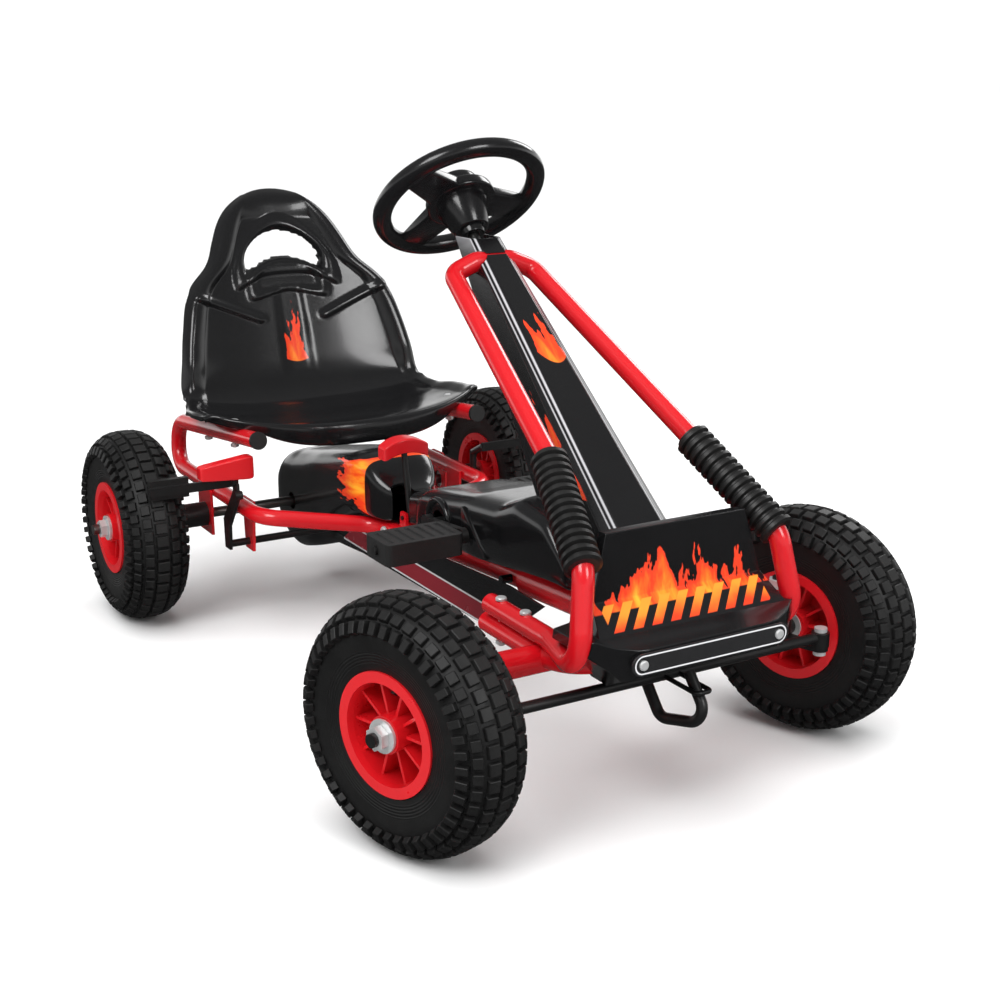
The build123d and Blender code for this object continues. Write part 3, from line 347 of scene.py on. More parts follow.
# %% Panel finish
panel = glossy("side_panel_print", BLACK, WORN_BLACK, 0.25, 0.12, 0.3, 0.00006)
x, y, z = panel.axes(panel.place((0, 0, 0.0985)))
climb = (x - 0.129).math("MAXIMUM", 0.0) * 0.39
from_middle = (z - climb - 0.0155).size(), (x + 0.045).size()
field = from_middle[0].below(0.0115) * from_middle[1].below(0.215)
line = from_middle[0].below(0.0135) * from_middle[1].below(0.217) - field
panel.paint_over(field, (0.19, 0.012, 0.02))
panel.paint_over(line, (0.55, 0.55, 0.56))
print("panel drawn, with a field of 430 by 23 mm")

# %% Plate finish
PLATE_CENTRE, ROUND_END_Y, BORDER_RADIUS = (0.5255, 0, 0.197), 0.0814, 0.0088
plate = glossy("nose_plate_print", (0.014, 0.014, 0.015), (0.02, 0.02, 0.021), 0.22, 0.1, 0.4,
               0.00004)
x, y, z = plate.axes(plate.place(PLATE_CENTRE))
past = (y.size() - ROUND_END_Y).math("MAXIMUM", 0.0)
edge = (past * past + z * z).math("SQRT")
plate.paint_over((edge - BORDER_RADIUS).size().below(0.0007, 0.0002), (0.72, 0.72, 0.74))
print("plate drawn, with a border", BORDER_RADIUS, "m from its middle line")

# %% [markdown]
# ## Dressing the solids
# Every solid gets the finish of the real piece. Doing this first, before any new shape, gives a
# complete kart that can be compared as a whole.

# %% Assign finishes to the solids
finishes = {
    red_paint: ["front_frame", "rear_beam", "bumper_tube", "side_tube", "steering_hoop",
                "frame_plates", "drive_brackets"],
    red_plastic: ["rim_", "brake_grip", "shift_grip"],
    black_plastic: ["seat_shell", "pedal_cover", "steering_wheel", "steering_cap"],
    black_paint: ["axle_sleeves", "steering_column", "knuckle_right", "knuckle_left", "tie_bar",
                  "crank", "brake_lever", "shift_lever"],
    matt_plastic: ["pedal_right", "pedal_left", "tube_caps", "bushes"],
    dark_rubber: ["bellows", "brake_pads", "inner_tube", "tyre"],
    zinc: ["frame_bolts", "seat_bolts", "plate_screws", "knuckle_fasteners", "axle_nuts",
           "bearings", "axle_bearings"],
    steel: ["chain", "rear_axle", "rear_sprocket", "front_sprocket"],
    nose_print: ["nose_fairing"],
    column_print: ["column_cover"],
    case_print: ["chain_case"],
    panel: ["side_panel"],
    plate: ["number_plate"],
}


def dress(obj, finish):
    obj.data.materials.clear()
    obj.data.materials.append(finish.material)


for finish, stems in finishes.items():
    for name, obj in nodes.items():
        if any(name.startswith(stem) for stem in stems):
            dress(obj, finish)
print("dressed:", sum(1 for obj in nodes.values() if obj.data.materials))

# %% [markdown]
# ## Handing a new piece over
# A new piece is modelled at its own place, and then its place goes into its mesh, so that the
# object itself sits at the origin. One helper does that, names it, gives it its finish and body,
# and hides the solid that it stands for.

# %% Helpers for new pieces
def pick_none():
    bpy.ops.object.select_all(action="DESELECT")


def only(obj):
    """Selects one object and makes it active."""
    pick_none()
    obj.select_set(True)
    bpy.context.view_layer.objects.active = obj
    return obj


def settle(obj):
    """Puts the object's place, turn and size into its mesh."""
    only(obj)
    bpy.ops.object.transform_apply(location=True, rotation=True, scale=True)
    return obj


def join(objects):
    pick_none()
    for obj in objects:
        obj.select_set(True)
    bpy.context.view_layer.objects.active = objects[0]
    bpy.ops.object.join()
    return bpy.context.view_layer.objects.active


def copy_of(obj):
    """A copy with a mesh of its own."""
    twin = obj.copy()
    twin.data = obj.data.copy()
    bpy.context.collection.objects.link(twin)
    return twin


print("helpers to select, settle, join and copy")

# %% Helpers that shape and hand over
def box(place, size):
    """A box at a place, for a cut or to shape further."""
    pick_none()
    bpy.ops.mesh.primitive_cube_add(size=1, location=place)
    bpy.context.object.scale = size
    return settle(bpy.context.object)


def applied(obj, kind, **settings):
    """Adds a modifier with these settings and applies it."""
    only(obj)
    made = obj.modifiers.new(kind.lower(), kind)
    for key, value in settings.items():
        setattr(made, key, value)
    bpy.ops.object.modifier_apply(modifier=made.name)
    return obj


def smooth(obj, angle=35):
    only(obj)
    bpy.ops.object.shade_smooth_by_angle(angle=radians(angle))
    return obj


def hand_over(obj, name, finish, body, slot, *replaced):
    """Names a finished piece and puts it in the frame."""
    obj.name = name
    obj.data.name = name
    dress(obj, finish)
    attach(obj, body)
    if replaced:
        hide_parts(*replaced)
    print(name, "faces:", len(obj.data.polygons))
    return obj


def choose(obj, test):
    """In edit mode: selects the vertices that pass a test of their position."""
    bpy.ops.mesh.select_all(action="DESELECT")
    bpy.ops.object.mode_set(mode="OBJECT")
    for vertex in obj.data.vertices:
        vertex.select = test(vertex.co)
    bpy.ops.object.mode_set(mode="EDIT")
    return obj


print("helpers to shape, finish and hand over")

# %% [markdown]
# ## Edges
# Moulded plastic and bent plate never have knife edges: each one catches a thin line of light. So
# the drawn solids of the covers, pedals and plates are copied, their coincident points are merged,
# flat faces are cleaned, and every sharp edge gets a small bevel.

# %% A copy with softened edges
def soften(node, name, finish, body, slot, width):
    """A bevelled copy of a drawn solid, which stands for it."""
    obj = copy_of(nodes[node])
    obj.parent = None
    only(obj)
    bpy.ops.object.mode_set(mode="EDIT")
    bpy.ops.mesh.select_all(action="SELECT")
    bpy.ops.mesh.customdata_custom_splitnormals_clear()
    bpy.ops.mesh.remove_doubles(threshold=0.00001)
    bpy.ops.mesh.dissolve_limited(angle_limit=radians(0.8))
    bpy.ops.object.mode_set(mode="OBJECT")
    applied(obj, "BEVEL", width=width, segments=2, limit_method="ANGLE", angle_limit=radians(30),
            use_clamp_overlap=False)
    smooth(obj, 50)
    applied(obj, "WEIGHTED_NORMAL", keep_sharp=True)
    return hand_over(obj, name, finish, body, slot, node)


print("bevels are a third to one and a half millimetres wide")

# %% Soften covers, panels, plates, wheel and pedals
soften("nose_fairing", "nose_moulding", nose_print, "chassis", "plastic_black", 0.0010)
# the cover's copy stands a little further forward, clear of the tube that passes through it
cover = soften("column_cover", "column_moulding", column_print, "chassis", "plastic_black", 0.0009)
cover.data.transform(Matrix.Translation((0.0012, 0, 0)))
soften("side_panel", "long_panel", panel, "chassis", "panel", 0.0006)
# the plate is a little longer than drawn, and its screws move out with its round ends
plate_stretch, screw_shift = 1.13, 0.0094
strip = soften("number_plate", "nose_plate", plate, "chassis", "plate", 0.0005)
strip.data.transform(Matrix.Diagonal((1, plate_stretch, 1, 1)))
screws = soften("plate_screws", "nose_plate_screws", zinc, "chassis", "zinc", 0.0003)
for vertex in screws.data.vertices:
    vertex.co.y += screw_shift if vertex.co.y > 0 else -screw_shift
soften("frame_plates", "hanger_plates", red_paint, "chassis", "frame_red", 0.0006)
soften("steering_wheel", "wheel_moulding", black_plastic, "steering", "plastic_black", 0.0016)
for pedal in ("pedal_right", "pedal_left"):
    soften(pedal, "block_" + pedal, matt_plastic, pedal, "pedal_plastic", 0.0007)

# %% [markdown]
# ## Tyres
# The tyres are small pneumatic ones with a block tread. The casing is one cross-section turned
# about the axle: a square that is narrowed at the bead, rounded at its corners, and spun. The tread
# blocks repeat, so one slice of seven blocks is modelled and copied round the casing.

# %% The casing, spun about the axle
tyre_radius = 0.130
block_height = 0.0045
pitch_count = 46


def casing():
    """Cross-section in the YZ plane, spun about the Y axis."""
    low, high = 0.0545, tyre_radius - block_height
    pick_none()
    bpy.ops.mesh.primitive_plane_add(size=1, rotation=(0, pi / 2, 0),
                                     location=(0, 0, (low + high) / 2))
    obj = bpy.context.object
    obj.scale = (high - low, 0.082, 1)
    settle(obj)
    bpy.ops.object.mode_set(mode="EDIT")
    bpy.context.tool_settings.mesh_select_mode = (True, False, False)
    choose(obj, lambda co: co.z < 0.08)
    bpy.ops.transform.resize(value=(1, 0.80, 1))
    choose(obj, lambda co: co.z > 0.08)
    bpy.ops.mesh.bevel(offset=0.034, segments=10, affect="VERTICES")
    choose(obj, lambda co: co.z < 0.06)
    bpy.ops.mesh.bevel(offset=0.009, segments=4, affect="VERTICES")
    bpy.ops.mesh.select_all(action="SELECT")
    bpy.ops.mesh.delete(type="ONLY_FACE")
    bpy.ops.mesh.select_all(action="SELECT")
    bpy.ops.mesh.spin(steps=112, angle=2 * pi, center=(0, 0, 0), axis=(0, 1, 0))
    bpy.ops.mesh.select_all(action="SELECT")
    bpy.ops.mesh.remove_doubles(threshold=0.00002)
    bpy.ops.mesh.normals_make_consistent(inside=False)
    bpy.ops.object.mode_set(mode="OBJECT")
    return smooth(obj, 50)


tyre = casing()
print("casing:", len(tyre.data.polygons), "faces")

# %% The tread, a slice of blocks repeated round the casing
def block(y, radius, tilt, length, width, height, shift):
    """One tread block; the shift is along the tread, as an angle."""
    obj = box((0, 0, 0), (length, width, height))
    bpy.ops.object.mode_set(mode="EDIT")
    choose(obj, lambda co: co.z > 0)
    bpy.ops.transform.resize(value=(0.86, 0.86, 1))
    bpy.ops.mesh.select_all(action="SELECT")
    bpy.ops.mesh.bevel(offset=0.0006, segments=1)
    bpy.ops.object.mode_set(mode="OBJECT")
    turn = Matrix.Rotation(shift, 4, "Y") @ Matrix.Translation((0, y, radius))
    obj.matrix_world = turn @ Matrix.Rotation(tilt, 4, "X")
    return settle(obj)


def tread():
    """A slice of seven blocks, repeated round the casing."""
    step = 2 * pi / pitch_count
    tall = block_height + 0.003
    top = tyre_radius - tall / 2 - 0.0002
    slice_blocks = [block(0, top, 0, 0.0150, 0.0175, tall, 0)]
    # each row: place across the tyre, depth under the crown, tilt, length, width and offset
    rows = [(0.0170, 0.0018, 0.30, 0.0142, 0.0130, step / 2),
            (0.0300, 0.0092, 0.72, 0.0122, 0.0115, 0),
            (0.0386, 0.0205, 1.15, 0.0088, 0.0140, step / 2)]
    for side in (-1, 1):
        for across, depth, tilt, length, width, shift in rows:
            slice_blocks.append(block(side * across, top - depth, -side * tilt, length, width, tall,
                                      shift))
    unit = join(slice_blocks)
    copies = [unit]
    for index in range(1, pitch_count):
        twin = copy_of(unit)
        twin.rotation_euler = (0, index * step, 0)
        copies.append(twin)
    return settle(join(copies))


model_tyre = settle(join([tyre, tread()]))
print("one tyre:", len(model_tyre.data.polygons), "faces")

# %% [markdown]
# ## Rubber
# Tyre rubber is charcoal rather than black, dusty between the blocks and worn smooth and a little
# paler where it meets the floor. The sidewall carries fine raised rings. All of this depends on the
# distance from the axle, so each tyre's finish is centred on its own wheel.

# %% Where the wheels are
# each wheel: where it is steered or fixed, its offset along its axle, its turn, and its body
wheels = {
    "front_right": ((front_axle_x, -0.203), -0.061, steer_rest, "wheel_front_right"),
    "front_left": ((front_axle_x, 0.203), 0.061, steer_rest, "wheel_front_left"),
    "rear_right": ((rear_axle_x, -0.290), 0.0, 0.0, "wheel_rear_right"),
    "rear_left": ((rear_axle_x, 0.290), 0.0, 0.0, "rear_axle"),
}


def wheel_place(name):
    """Turn and place of a wheel's middle."""
    (pin_x, pin_y), offset, turn, _ = wheels[name]
    place = Matrix.Translation((pin_x, pin_y, axle_height)) @ Matrix.Rotation(turn, 4, "Z")
    return place @ Matrix.Translation((0, offset, 0))


for name in wheels:
    print(name, "wheel at", [round(value, 3) for value in wheel_place(name).translation])

# %% A rubber finish centred on one wheel, and the tyres in place
def tyre_rubber(name):
    """Dusty rubber, dustiest in the tread, with fine rings on the sidewall."""
    place = wheel_place(name)
    finish = Finish("tyre_rubber_" + name, (0.020, 0.020, 0.020), 0.6)
    spot = finish.place(place.translation, (0, 0, wheels[name][2]))
    x, y, z = finish.axes(spot)
    distance = (x * x + z * z).math("SQRT")
    dust = finish.noise(spot, 34.0, 5.0)
    grain = finish.noise(spot, 320.0, 2.0)
    tread_share = 1 - distance.below(0.1275, 0.0015)
    base = finish.mix(dust * 0.8, (0.0035, 0.0035, 0.0037), (0.010, 0.0098, 0.0095))
    finish.feed("Base Color", finish.mix(tread_share * 0.5, base, (0.013, 0.0128, 0.0125)))
    finish.feed("Roughness", dust * 0.24 + grain * 0.1 + 0.36)
    sidewall = distance.below(0.082, 0.001) * (1 - distance.below(0.069, 0.001))
    rings = (distance * 2100.0).math("SINE") * sidewall
    finish.bump(grain * 0.35 + rings * 0.5 + 0.5, 0.0004)
    return finish


for name, (_, _, _, body) in wheels.items():
    tyre = copy_of(model_tyre)
    tyre.matrix_world = wheel_place(name)
    settle(tyre)
    hand_over(tyre, "tread_tyre_" + name, tyre_rubber(name), body, "tyre", "tyre_" + name)
bpy.data.objects.remove(model_tyre)

# %% [markdown]
# ## The seat
# The seat is one blow-moulded shell: a dished pan, a back with a hand hole under a headrest arch,
# rims that roll forward, creases that run from the middle to the shoulders, and a label place. A
# grid is laid over it from the front lip to the top, its points are set by a few smooth curves, the
# hole is opened, and a wall and a subdivision finish it. The curves are written out because a
# moulded double curve can't be reached by extruding and bevelling.

# %% Curves of the seat
def between(stops, share):
    """Value on the straight lines between stops (share, value), carried on past both ends."""
    index = sum(1 for stop, _ in stops[1:-1] if share > stop)
    (s0, v0), (s1, v1) = stops[index], stops[index + 1]
    return v0 + (v1 - v0) * (share - s0) / (s1 - s0)


def curve(stops, share, reach=0.035):
    """The same value averaged over a short reach, which rounds every corner."""
    steps = range(-4, 5)
    weights = [5 - abs(step) for step in steps]
    total = sum(w * between(stops, share + step * reach / 4) for step, w in zip(steps, weights))
    return total / sum(weights)


# against the share of the seat's length, from the front lip to the top
seat_x = [(0, -0.231), (0.04, -0.234), (0.08, -0.250), (0.16, -0.300), (0.3, -0.392),
          (0.37, -0.432), (0.42, -0.453), (0.48, -0.468), (0.62, -0.487), (0.74, -0.505),
          (0.84, -0.524), (0.94, -0.549), (1, -0.559)]
seat_z = [(0, 0.262), (0.04, 0.270), (0.08, 0.272), (0.16, 0.267), (0.3, 0.256), (0.37, 0.263),
          (0.42, 0.283), (0.48, 0.314), (0.62, 0.375), (0.74, 0.428), (0.84, 0.474), (0.94, 0.532),
          (1, 0.561)]
seat_half = [(0, 0.206), (0.08, 0.209), (0.2, 0.211), (0.3, 0.203), (0.38, 0.188), (0.48, 0.182),
             (0.58, 0.174), (0.68, 0.163), (0.745, 0.150), (0.80, 0.118), (0.86, 0.103),
             (0.91, 0.090), (0.95, 0.074), (0.98, 0.058), (1, 0.040)]
# how far the sides of the pan rise, the sides of the back come forward, and the lip sweeps back
seat_rise = [(0, 0.022), (0.1, 0.014), (0.25, 0.022), (0.36, 0.018), (0.45, 0.0), (1, 0.0)]
seat_wrap = [(0, 0.0), (0.36, 0.0), (0.5, 0.024), (0.66, 0.022), (0.86, 0.012), (1, 0.010)]
seat_sweep = [(0, 0.078), (0.12, 0.050), (0.24, 0.016), (0.34, 0.0), (1, 0.0)]
print("seat:", round(seat_x[0][1] - seat_x[-1][1], 3), "m long,", 2 * seat_half[2][1], "m wide")

# %% Creases, hand hole and rims
# the hand hole: height and fall of its arched middle line, and its half width and half height
HOLE_TOP, HOLE_FALL, HOLE_WIDE, HOLE_HIGH = 0.4835, 7.0, 0.059, 0.0185
CREASE_START, CREASE_END, CREASE_WIDTH = Vector((0.050, 0.379)), Vector((0.155, 0.423)), 0.0065


def clamped(value):
    return min(1.0, max(0.0, value))


def crease(y, z):
    """1 on the crease from the middle of the back to its shoulder, fading to 0 beside it."""
    run = CREASE_END - CREASE_START
    spot = Vector((abs(y), z)) - CREASE_START
    t = clamped(spot.dot(run) / run.length_squared)
    gap = (spot - run * t).length / CREASE_WIDTH
    return max(0.0, 1 - gap * gap) ** 2


def arched(y, z, top, fall, wide, high):
    """Under 1 inside a rounded patch that is arched by its fall, 1 on its edge."""
    return ((y / wide) ** 4 + ((z - top + fall * y * y) / high) ** 4) ** 0.25


def hole_middle(y):
    """Height of the middle line of the hand hole."""
    return HOLE_TOP - HOLE_FALL * y * y


def hole_measure(y, z):
    return arched(y, z, HOLE_TOP, HOLE_FALL, HOLE_WIDE, HOLE_HIGH)


def rolled(gap, drop=0.016):
    """Height of a rolled rim at a distance from the edge: it swells, then turns down."""
    swell = max(0.0, 1 - ((gap - 0.016) / 0.014) ** 2)
    turn_down = max(0.0, 1 - gap / 0.009)
    return 0.0045 * swell - drop * turn_down ** 2


print("hand hole:", 2 * HOLE_WIDE, "by", 2 * HOLE_HIGH, "m")

# %% A point of the seat
def seat_point(share, across):
    """Point of the seat for a share of its length and of its half width."""
    far = abs(across)
    x = curve(seat_x, share) - curve(seat_sweep, share) * far ** 2.4
    x += curve(seat_wrap, share) * far ** 3
    z = curve(seat_z, share) + curve(seat_rise, share) * far ** 3
    half = curve(seat_half, share)
    y = half * across
    upright = clamped((share - 0.33) / 0.10)
    # the rim rolls down little over the two tubes and deeper between them, and evenly on the back
    gap = min(half * (1 - far), 0.52 * share, 0.38 * (1 - share))
    drop = 0.014 if share > 0.4 else 0.002 + 0.020 * (1 - clamped(abs(y) / 0.150) ** 4)
    lift = rolled(gap, drop)
    if share > 0.45:
        lift += 0.0045 * crease(y, z)
        from_middle = Vector((y, z - hole_middle(y))).length
        outside = max(0.0, 1 - 1 / max(0.01, hole_measure(y, z)))
        lift += rolled(outside * from_middle * 1.2)
        label = arched(y, z, 0.440, 5.0, 0.056, 0.020)
        lift += 0.0035 * max(0.0, 1 - ((label - 1) / 0.16) ** 2)
        lift -= 0.0025 * clamped((0.021 - abs(y)) / 0.003) * clamped((0.424 - z) / 0.004)
        z -= 0.008 * far ** 2 * max(0.0, (share - 0.86) / 0.14)
    x += (lift - 0.004) * upright
    z += (lift - 0.002) * (1 - upright)
    return Vector((x, y, z))


print("lip and top:", [tuple(round(v, 3) for v in seat_point(share, 0)) for share in (0, 1)])

# %% Shape the sheet and open the hand hole
seat_rows, seat_columns = 136, 86
pick_none()
bpy.ops.mesh.primitive_grid_add(x_subdivisions=seat_rows, y_subdivisions=seat_columns, size=2)
seat = bpy.context.object
for vertex in seat.data.vertices:
    # rows and columns are set closer together towards the rims
    along, across = vertex.co.x, vertex.co.y
    share = (along * 0.8 + along * (3 - along * along) * 0.1 + 1) / 2
    vertex.co = seat_point(share, across * (3 - across * across) / 2)
bpy.ops.object.mode_set(mode="EDIT")
bpy.context.tool_settings.mesh_select_mode = (False, False, True)
bpy.ops.mesh.select_all(action="DESELECT")
bpy.ops.object.mode_set(mode="OBJECT")
for face in seat.data.polygons:
    face.select = face.center.z > 0.43 and hole_measure(face.center.y, face.center.z) < 1
bpy.ops.object.mode_set(mode="EDIT")
bpy.ops.mesh.delete(type="FACE")
bpy.ops.mesh.select_all(action="SELECT")
bpy.ops.mesh.normals_make_consistent(inside=False)
bpy.ops.mesh.select_all(action="DESELECT")
bpy.context.tool_settings.mesh_select_mode = (True, False, False)
bpy.ops.mesh.select_non_manifold()
bpy.ops.object.mode_set(mode="OBJECT")
print("open edges:", sum(vertex.select for vertex in seat.data.vertices), "points")

# %% Even out the hole's edge, and thicken the seat
# the points on the hole's edge are set exactly on its outline, and then smoothed a little
for vertex in seat.data.vertices:
    vertex.select = vertex.select and abs(vertex.co.y) < 0.07 and 0.43 < vertex.co.z < 0.51
    if vertex.select:
        size = hole_measure(vertex.co.y, vertex.co.z)
        y = vertex.co.y / size
        vertex.co.z = hole_middle(y) + (vertex.co.z - hole_middle(vertex.co.y)) / size
        vertex.co.y = y
bpy.ops.object.mode_set(mode="EDIT")
bpy.ops.mesh.vertices_smooth(factor=0.5, repeat=2)
bpy.ops.object.mode_set(mode="OBJECT")
applied(seat, "SOLIDIFY", thickness=0.006, offset=0, use_rim=True)
applied(seat, "SUBSURF", levels=1, render_levels=1)
smooth(seat, 60)
hand_over(seat, "moulded_seat", seat_print, "chassis", "plastic_black", "seat_shell")

# %% [markdown]
# ## The chain case and other humps
# Case and crank cover are thin moulded humps with generous corners: the case starts as a drum round
# the rear axle and narrows towards the beam, and the cover rises from the crank to the foot of the
# steering rod. Each is a sheet wrapped round a line of cross-sections: rounded rectangles whose
# top, bottom and half width follow smooth curves. It then gets a wall, and holes for its shafts.

# %% Curves and section of a moulded hump
def hump(x_from, x_to, top, bottom, half, corner, rear_round, front_round):
    """A sheet wrapped round sections along X; the rounds say how far each end is closed off."""
    pick_none()
    bpy.ops.mesh.primitive_grid_add(x_subdivisions=64, y_subdivisions=72, size=2)
    obj = bpy.context.object
    for vertex in obj.data.vertices:
        share, angle = (vertex.co.x + 1) / 2, vertex.co.y * pi
        x = x_from + (x_to - x_from) * share
        ends = 1.0
        for reach, gap in ((rear_round, x - x_from), (front_round, x_to - x)):
            if reach:
                ends *= (1 - (1 - min(1.0, gap / reach)) ** 3) ** (1 / 3)
        high, low = curve(top, x, 0.006), curve(bottom, x, 0.006)
        reach_z = (high - low) / 2 * ends
        reach_y = curve(half, x, 0.012) * (0.35 + 0.65 * ends if ends > 0 else 0)
        side = abs(cos(angle)) ** (2 / corner) * (1 if cos(angle) > 0 else -1)
        rise = abs(sin(angle)) ** (2 / corner) * (1 if sin(angle) > 0 else -1)
        vertex.co = (x, reach_y * side, (high + low) / 2 + reach_z * rise)
    bpy.ops.object.mode_set(mode="EDIT")
    bpy.ops.mesh.select_all(action="SELECT")
    bpy.ops.mesh.remove_doubles(threshold=0.00005)
    bpy.ops.mesh.normals_make_consistent(inside=False)
    bpy.ops.object.mode_set(mode="OBJECT")
    return applied(obj, "SOLIDIFY", thickness=0.0025, offset=-1)


print("a hump:", hump.__doc__)

# %% Openings
def opened(obj, cutters):
    """Cuts each shape out of the piece."""
    for cutter in cutters:
        applied(obj, "BOOLEAN", operation="DIFFERENCE", solver="EXACT", object=cutter)
        bpy.data.objects.remove(cutter)
    return obj


def bar(radius, length, place, axis):
    """A round bar for a cut or a boss, along a direction."""
    pick_none()
    turn = Vector(axis).to_track_quat("Z", "Y").to_euler()
    bpy.ops.mesh.primitive_cylinder_add(vertices=40, radius=radius, depth=length, location=place,
                                        rotation=turn)
    return settle(bpy.context.object)


print("holes and slots are cut with bars and boxes")

# %% The case over the chain
drum_radius = 0.074
drum_xs = [rear_axle_x + drum_radius * (step / 6 - 1) for step in range(1, 7)]
drum_top = [(x, axle_height + (drum_radius ** 2 - (x - rear_axle_x) ** 2) ** 0.5) for x in drum_xs]
drum_low = [(x, 2 * axle_height - z) for x, z in drum_top]
case_top = [(-0.4575, 0.132), *drum_top, (-0.300, 0.222), (-0.182, 0.246), (-0.160, 0.247),
            (-0.140, 0.239), (-0.112, 0.214), (-0.090, 0.208), (0.040, 0.233)]
case_low = [(-0.4575, 0.128), *drum_low, (-0.340, 0.069), (-0.318, 0.094), (-0.300, 0.118),
            (-0.268, 0.128), (-0.196, 0.158), (-0.096, 0.162), (0.040, 0.180)]
case_half = [(-0.4575, 0.050), (-0.430, 0.056), (-0.170, 0.057), (-0.125, 0.046), (-0.098, 0.025),
             (0.040, 0.023)]
case = hump(-0.4575, 0.034, case_top, case_low, case_half, 4.6, 0.016, 0)
axle_hole = bar(0.0125, 0.3, (rear_axle_x, 0, axle_height), (0, 1, 0))
lever_slot = box((-0.089, -0.018, 0.205), (0.044, 0.024, 0.09))
opened(case, [axle_hole, lever_slot])
smooth(case, 35)
hand_over(case, "moulded_chain_case", case_print, "chassis", "plastic_black", "chain_case")

# %% [markdown]
# ## The crank cover
# It is made like the case, and then gets a raised ring round each crank hole and a thin fin ahead
# of it on each side, as moulded stiffeners. The rings are tori half sunk in the wall, and each fin
# is a box whose top is drawn in to a slant.

# %% The cover over the crank
cover_top = [(0.020, 0.222), (0.040, 0.248), (0.120, 0.262), (0.160, 0.270), (0.225, 0.277),
             (0.262, 0.293), (0.315, 0.285), (0.345, 0.255), (0.370, 0.222)]
cover_low = [(0.020, 0.192), (0.165, 0.192), (0.265, 0.204), (0.370, 0.214)]
cover_half = [(0.020, 0.066), (0.240, 0.067), (0.370, 0.060)]
cover_side = 0.0665
cover = hump(0.022, 0.368, cover_top, cover_low, cover_half, 5.0, 0.018, 0.016)
crank_hole = bar(0.014, 0.3, crank_axis, (0, 1, 0))
rod_hole = bar(0.014, 0.20, (0.340, 0, 0.220), column_line)
opened(cover, [crank_hole, rod_hole])
rings = []
for side in (-1, 1):
    pick_none()
    place = (crank_axis[0], side * cover_side, crank_axis[2])
    bpy.ops.mesh.primitive_torus_add(major_radius=0.0265, minor_radius=0.0035, major_segments=56,
                                     minor_segments=12, location=place, rotation=(pi / 2, 0, 0))
    rings.append(settle(bpy.context.object))
    fin = box((0.178, side * cover_side, 0.2315), (0.056, 0.006, 0.050))
    bpy.ops.object.mode_set(mode="EDIT")
    choose(fin, lambda co: co.z > 0.24)
    bpy.ops.transform.resize(value=(0.06, 1, 1), center_override=(0.152, 0, 0.25))
    bpy.ops.mesh.select_all(action="SELECT")
    bpy.ops.mesh.bevel(offset=0.0012, segments=2)
    bpy.ops.object.mode_set(mode="OBJECT")
    rings.append(fin)
cover = join([cover, *rings])
smooth(cover, 35)
hand_over(cover, "crank_cover", black_plastic, "chassis", "plastic_black", "pedal_cover")

# %% [markdown]
# ## The hub of the steering wheel
# Under the wheel's three spokes sits a thick tapered boss, and above them a raised cap. Boss, disc
# and cap are short cones, and the spokes are boxes that narrow to the rim. Each is bevelled upright
# at the origin, and all are joined and tipped onto the column.

# %% Boss, cap and spokes
def tapered(bottom, top, low, high, corner):
    """A bevelled cone between two heights."""
    pick_none()
    bpy.ops.mesh.primitive_cone_add(vertices=56, radius1=bottom, radius2=top, depth=high - low,
                                    location=(0, 0, (low + high) / 2))
    obj = settle(bpy.context.object)
    return applied(obj, "BEVEL", width=corner, segments=4, limit_method="ANGLE")


def spoke(angle):
    """One spoke from the hub to the rim, wide at the hub."""
    obj = box((0.058, 0, -0.001), (0.064, 0.046, 0.014))
    bpy.ops.object.mode_set(mode="EDIT")
    choose(obj, lambda co: co.x > 0.06)
    bpy.ops.transform.resize(value=(1, 0.72, 0.75))
    bpy.ops.mesh.select_all(action="SELECT")
    bpy.ops.mesh.bevel(offset=0.0025, segments=3)
    bpy.ops.object.mode_set(mode="OBJECT")
    obj.rotation_euler = (0, 0, angle)
    return settle(obj)


hub_parts = [tapered(0.0205, 0.0335, -0.046, -0.004, 0.002),
             tapered(0.042, 0.040, -0.009, 0.006, 0.004),
             tapered(0.030, 0.027, 0.004, 0.024, 0.007)]
hub_parts += [spoke(radians(angle)) for angle in (80, 180, 280)]
hub = join(hub_parts)
column = Matrix.Translation((0.028, 0, 0.588)) @ Matrix.Rotation(-column_tilt, 4, "Y")
hub.matrix_world = column @ Matrix.Rotation(wheel_turn, 4, "Z")
settle(hub)
smooth(hub, 40)
hand_over(hub, "wheel_hub", black_plastic, "steering", "cap_plastic", "steering_cap")

# %% [markdown]
# ## Grips
# Both hand levers end in red moulded grips. The brake grip is a thick paddle, taller at its outer
# end; the shift grip is a T whose arms droop. Each starts as a box as long as the drawn grip, is
# subdivided and pulled into shape, and is rounded by a subdivision surface.

# %% A grip
def grip(node, name, body, height, depth, shape):
    """A rounded grip in the place of a drawn one; the shape moves each of its points."""
    low, high = (Vector(corner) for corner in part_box(node))
    middle, length = (low + high) / 2, high.y - low.y
    obj = box(middle, (depth, length, height))
    bpy.ops.object.mode_set(mode="EDIT")
    bpy.ops.mesh.select_all(action="SELECT")
    bpy.ops.mesh.subdivide(number_cuts=4)
    bpy.ops.object.mode_set(mode="OBJECT")
    for vertex in obj.data.vertices:
        along = (vertex.co.y - middle.y) / (length / 2)
        vertex.co = shape(vertex.co, middle, along)
    applied(obj, "SUBSURF", levels=2, render_levels=2)
    smooth(obj, 60)
    return hand_over(obj, name, red_plastic, body, "grip_red", node)


print("a grip:", grip.__doc__)

# %% The two shapes
def paddle(co, middle, along):
    """Taller towards the outer end."""
    return Vector((co.x, co.y, middle.z + (co.z - middle.z) * (1.0 + 0.28 * along) + 0.001 * along))


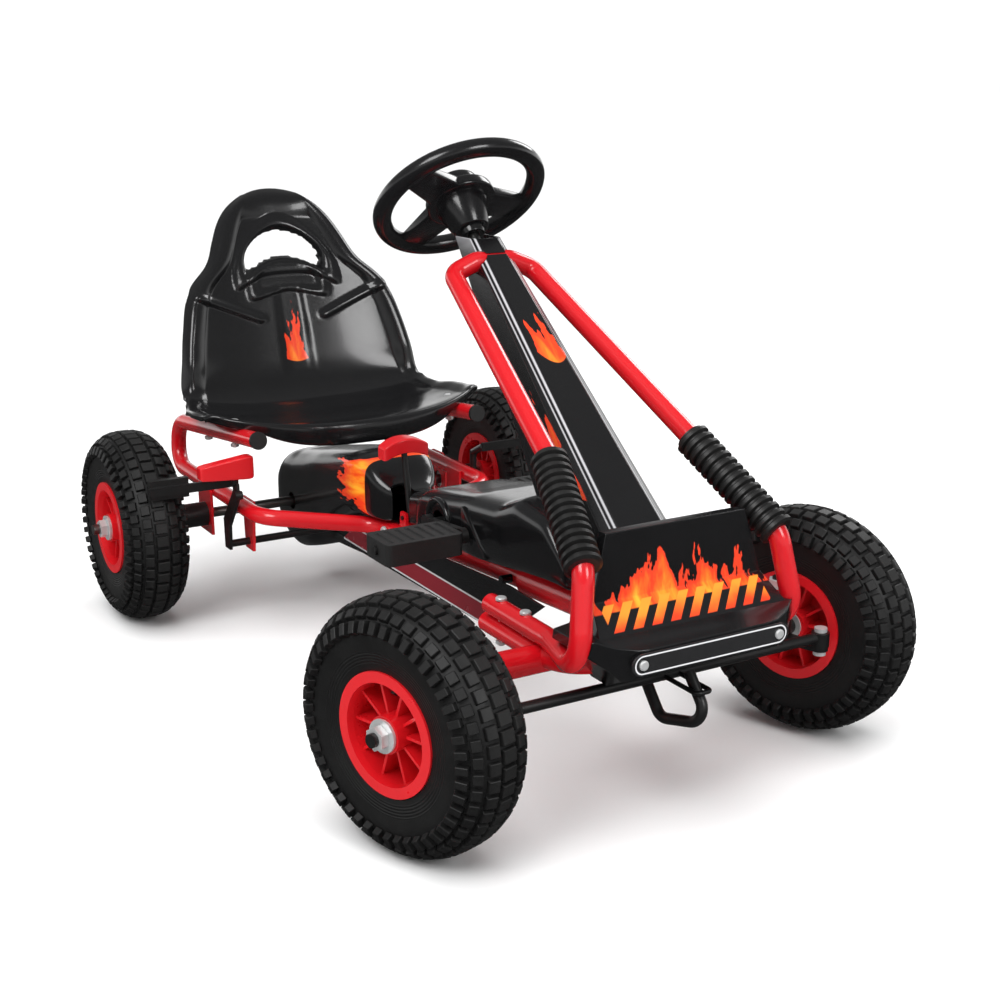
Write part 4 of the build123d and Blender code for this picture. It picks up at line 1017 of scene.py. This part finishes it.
def drooping(co, middle, along):
    """Thick in the middle, with both arms falling away."""
    fall = 0.010 * abs(along) ** 2.2
    x = middle.x + (co.x - middle.x) * (1.15 - 0.25 * along ** 2)
    return Vector((x, co.y, co.z - fall + 0.003))


grip("brake_grip", "brake_hand_grip", "brake", 0.026, 0.018, paddle)
grip("shift_grip", "shift_hand_grip", "shifter", 0.019, 0.024, drooping)

# %% [markdown]
# ## Studio
# A pale floor under soft light, as for a catalogue picture. Black gloss plastic mirrors whatever is
# round it, so the sky over the kart is kept dim and only the far horizon is white. A broad sun
# lights the floor evenly but isn't mirrored, and a few large panels give the long soft highlights.

# %% Floor
pick_none()
bpy.ops.mesh.primitive_plane_add(size=200, location=(0, 0, 0))
floor = bpy.context.object
floor.name = "studio_floor"
floor.visible_glossy = False
dress(floor, Finish("studio_floor", (0.88, 0.88, 0.88), 0.75))


def lamp(kind, name, place, aim, power, **settings):
    """A light at a place, turned to shine at a point."""
    pick_none()
    bpy.ops.object.light_add(type=kind, location=place)
    made = bpy.context.object
    made.name = name
    made.data.energy = power
    for key, value in settings.items():
        setattr(made.data, key, value)
    made.rotation_euler = (Vector(aim) - Vector(place)).to_track_quat("-Z", "Y").to_euler()
    return made


print("floor laid")

# %% Sun and panels
kart_middle = (0, 0, 0.3)
lights = [
    lamp("SUN", "even_sun", (0.6, -0.8, 5.0), (0, 0, 0), 3.3, angle=radians(70)),
    lamp("AREA", "key_panel", (1.2, -2.0, 2.2), kart_middle, 36, size=1.3),
    lamp("AREA", "front_panel", (3.0, 0.6, 1.8), kart_middle, 28, size=1.1),
    lamp("AREA", "side_panel_light", (-1.0, 2.6, 2.0), kart_middle, 26, size=1.2),
]
lights[0].visible_glossy = False
print("lights:", len(lights))

# %% Sky
world = bpy.data.worlds.new("studio_world")
world.use_nodes = True
sky = Patterns(world.node_tree)
x, y, z = sky.axes(sky.node("TexCoord", output="Generated"))
# the horizon is brightest behind the kart, and the sky above it is dim
behind = (y * 0.5 - x * 0.86).step(-0.2, 0.5)
horizon = z.step(-0.06, -0.03) * (1 - z.step(0.10, 0.30))
strength = z.step(-0.06, 0.10) * 0.14 + 0.06 + horizon * (behind * 0.62 + 0.38)
background = world.node_tree.nodes["Background"]
background.inputs["Color"].default_value = (1.0, 1.0, 1.0, 1.0)
world.node_tree.links.new(strength.socket, background.inputs["Strength"])
bpy.context.scene.world = world
bpy.context.scene.view_settings.view_transform = "Standard"
print("sky made")

# %% [markdown]
# ## Camera
# The view is from the front right, a little above the wheels, with a normal lens.

# %% Camera
camera_place = Vector((1.58963, -0.85486, 0.72884))
camera_data = bpy.data.cameras.new("three_quarter_view")
camera_data.lens = 54.23
camera_data.sensor_width = 36.0
camera = bpy.data.objects.new("three_quarter_view", camera_data)
bpy.context.collection.objects.link(camera)
right = Vector((0.50336, 0.86408, -0.00087))
up = Vector((-0.23567, 0.13825, 0.96195))
back = Vector((0.83132, -0.48400, 0.27323))
turn = Matrix((right, up, back)).transposed()
camera.matrix_world = Matrix.Translation(camera_place) @ turn.to_4x4()
bpy.context.scene.camera = camera
print("camera at", [round(value, 3) for value in camera_place])

# %% [markdown]
# ## Finishing
# The view layer is brought up to date. New shapes must not make the kart bigger.

# %% Bring the scene up to date
bpy.context.view_layer.update()
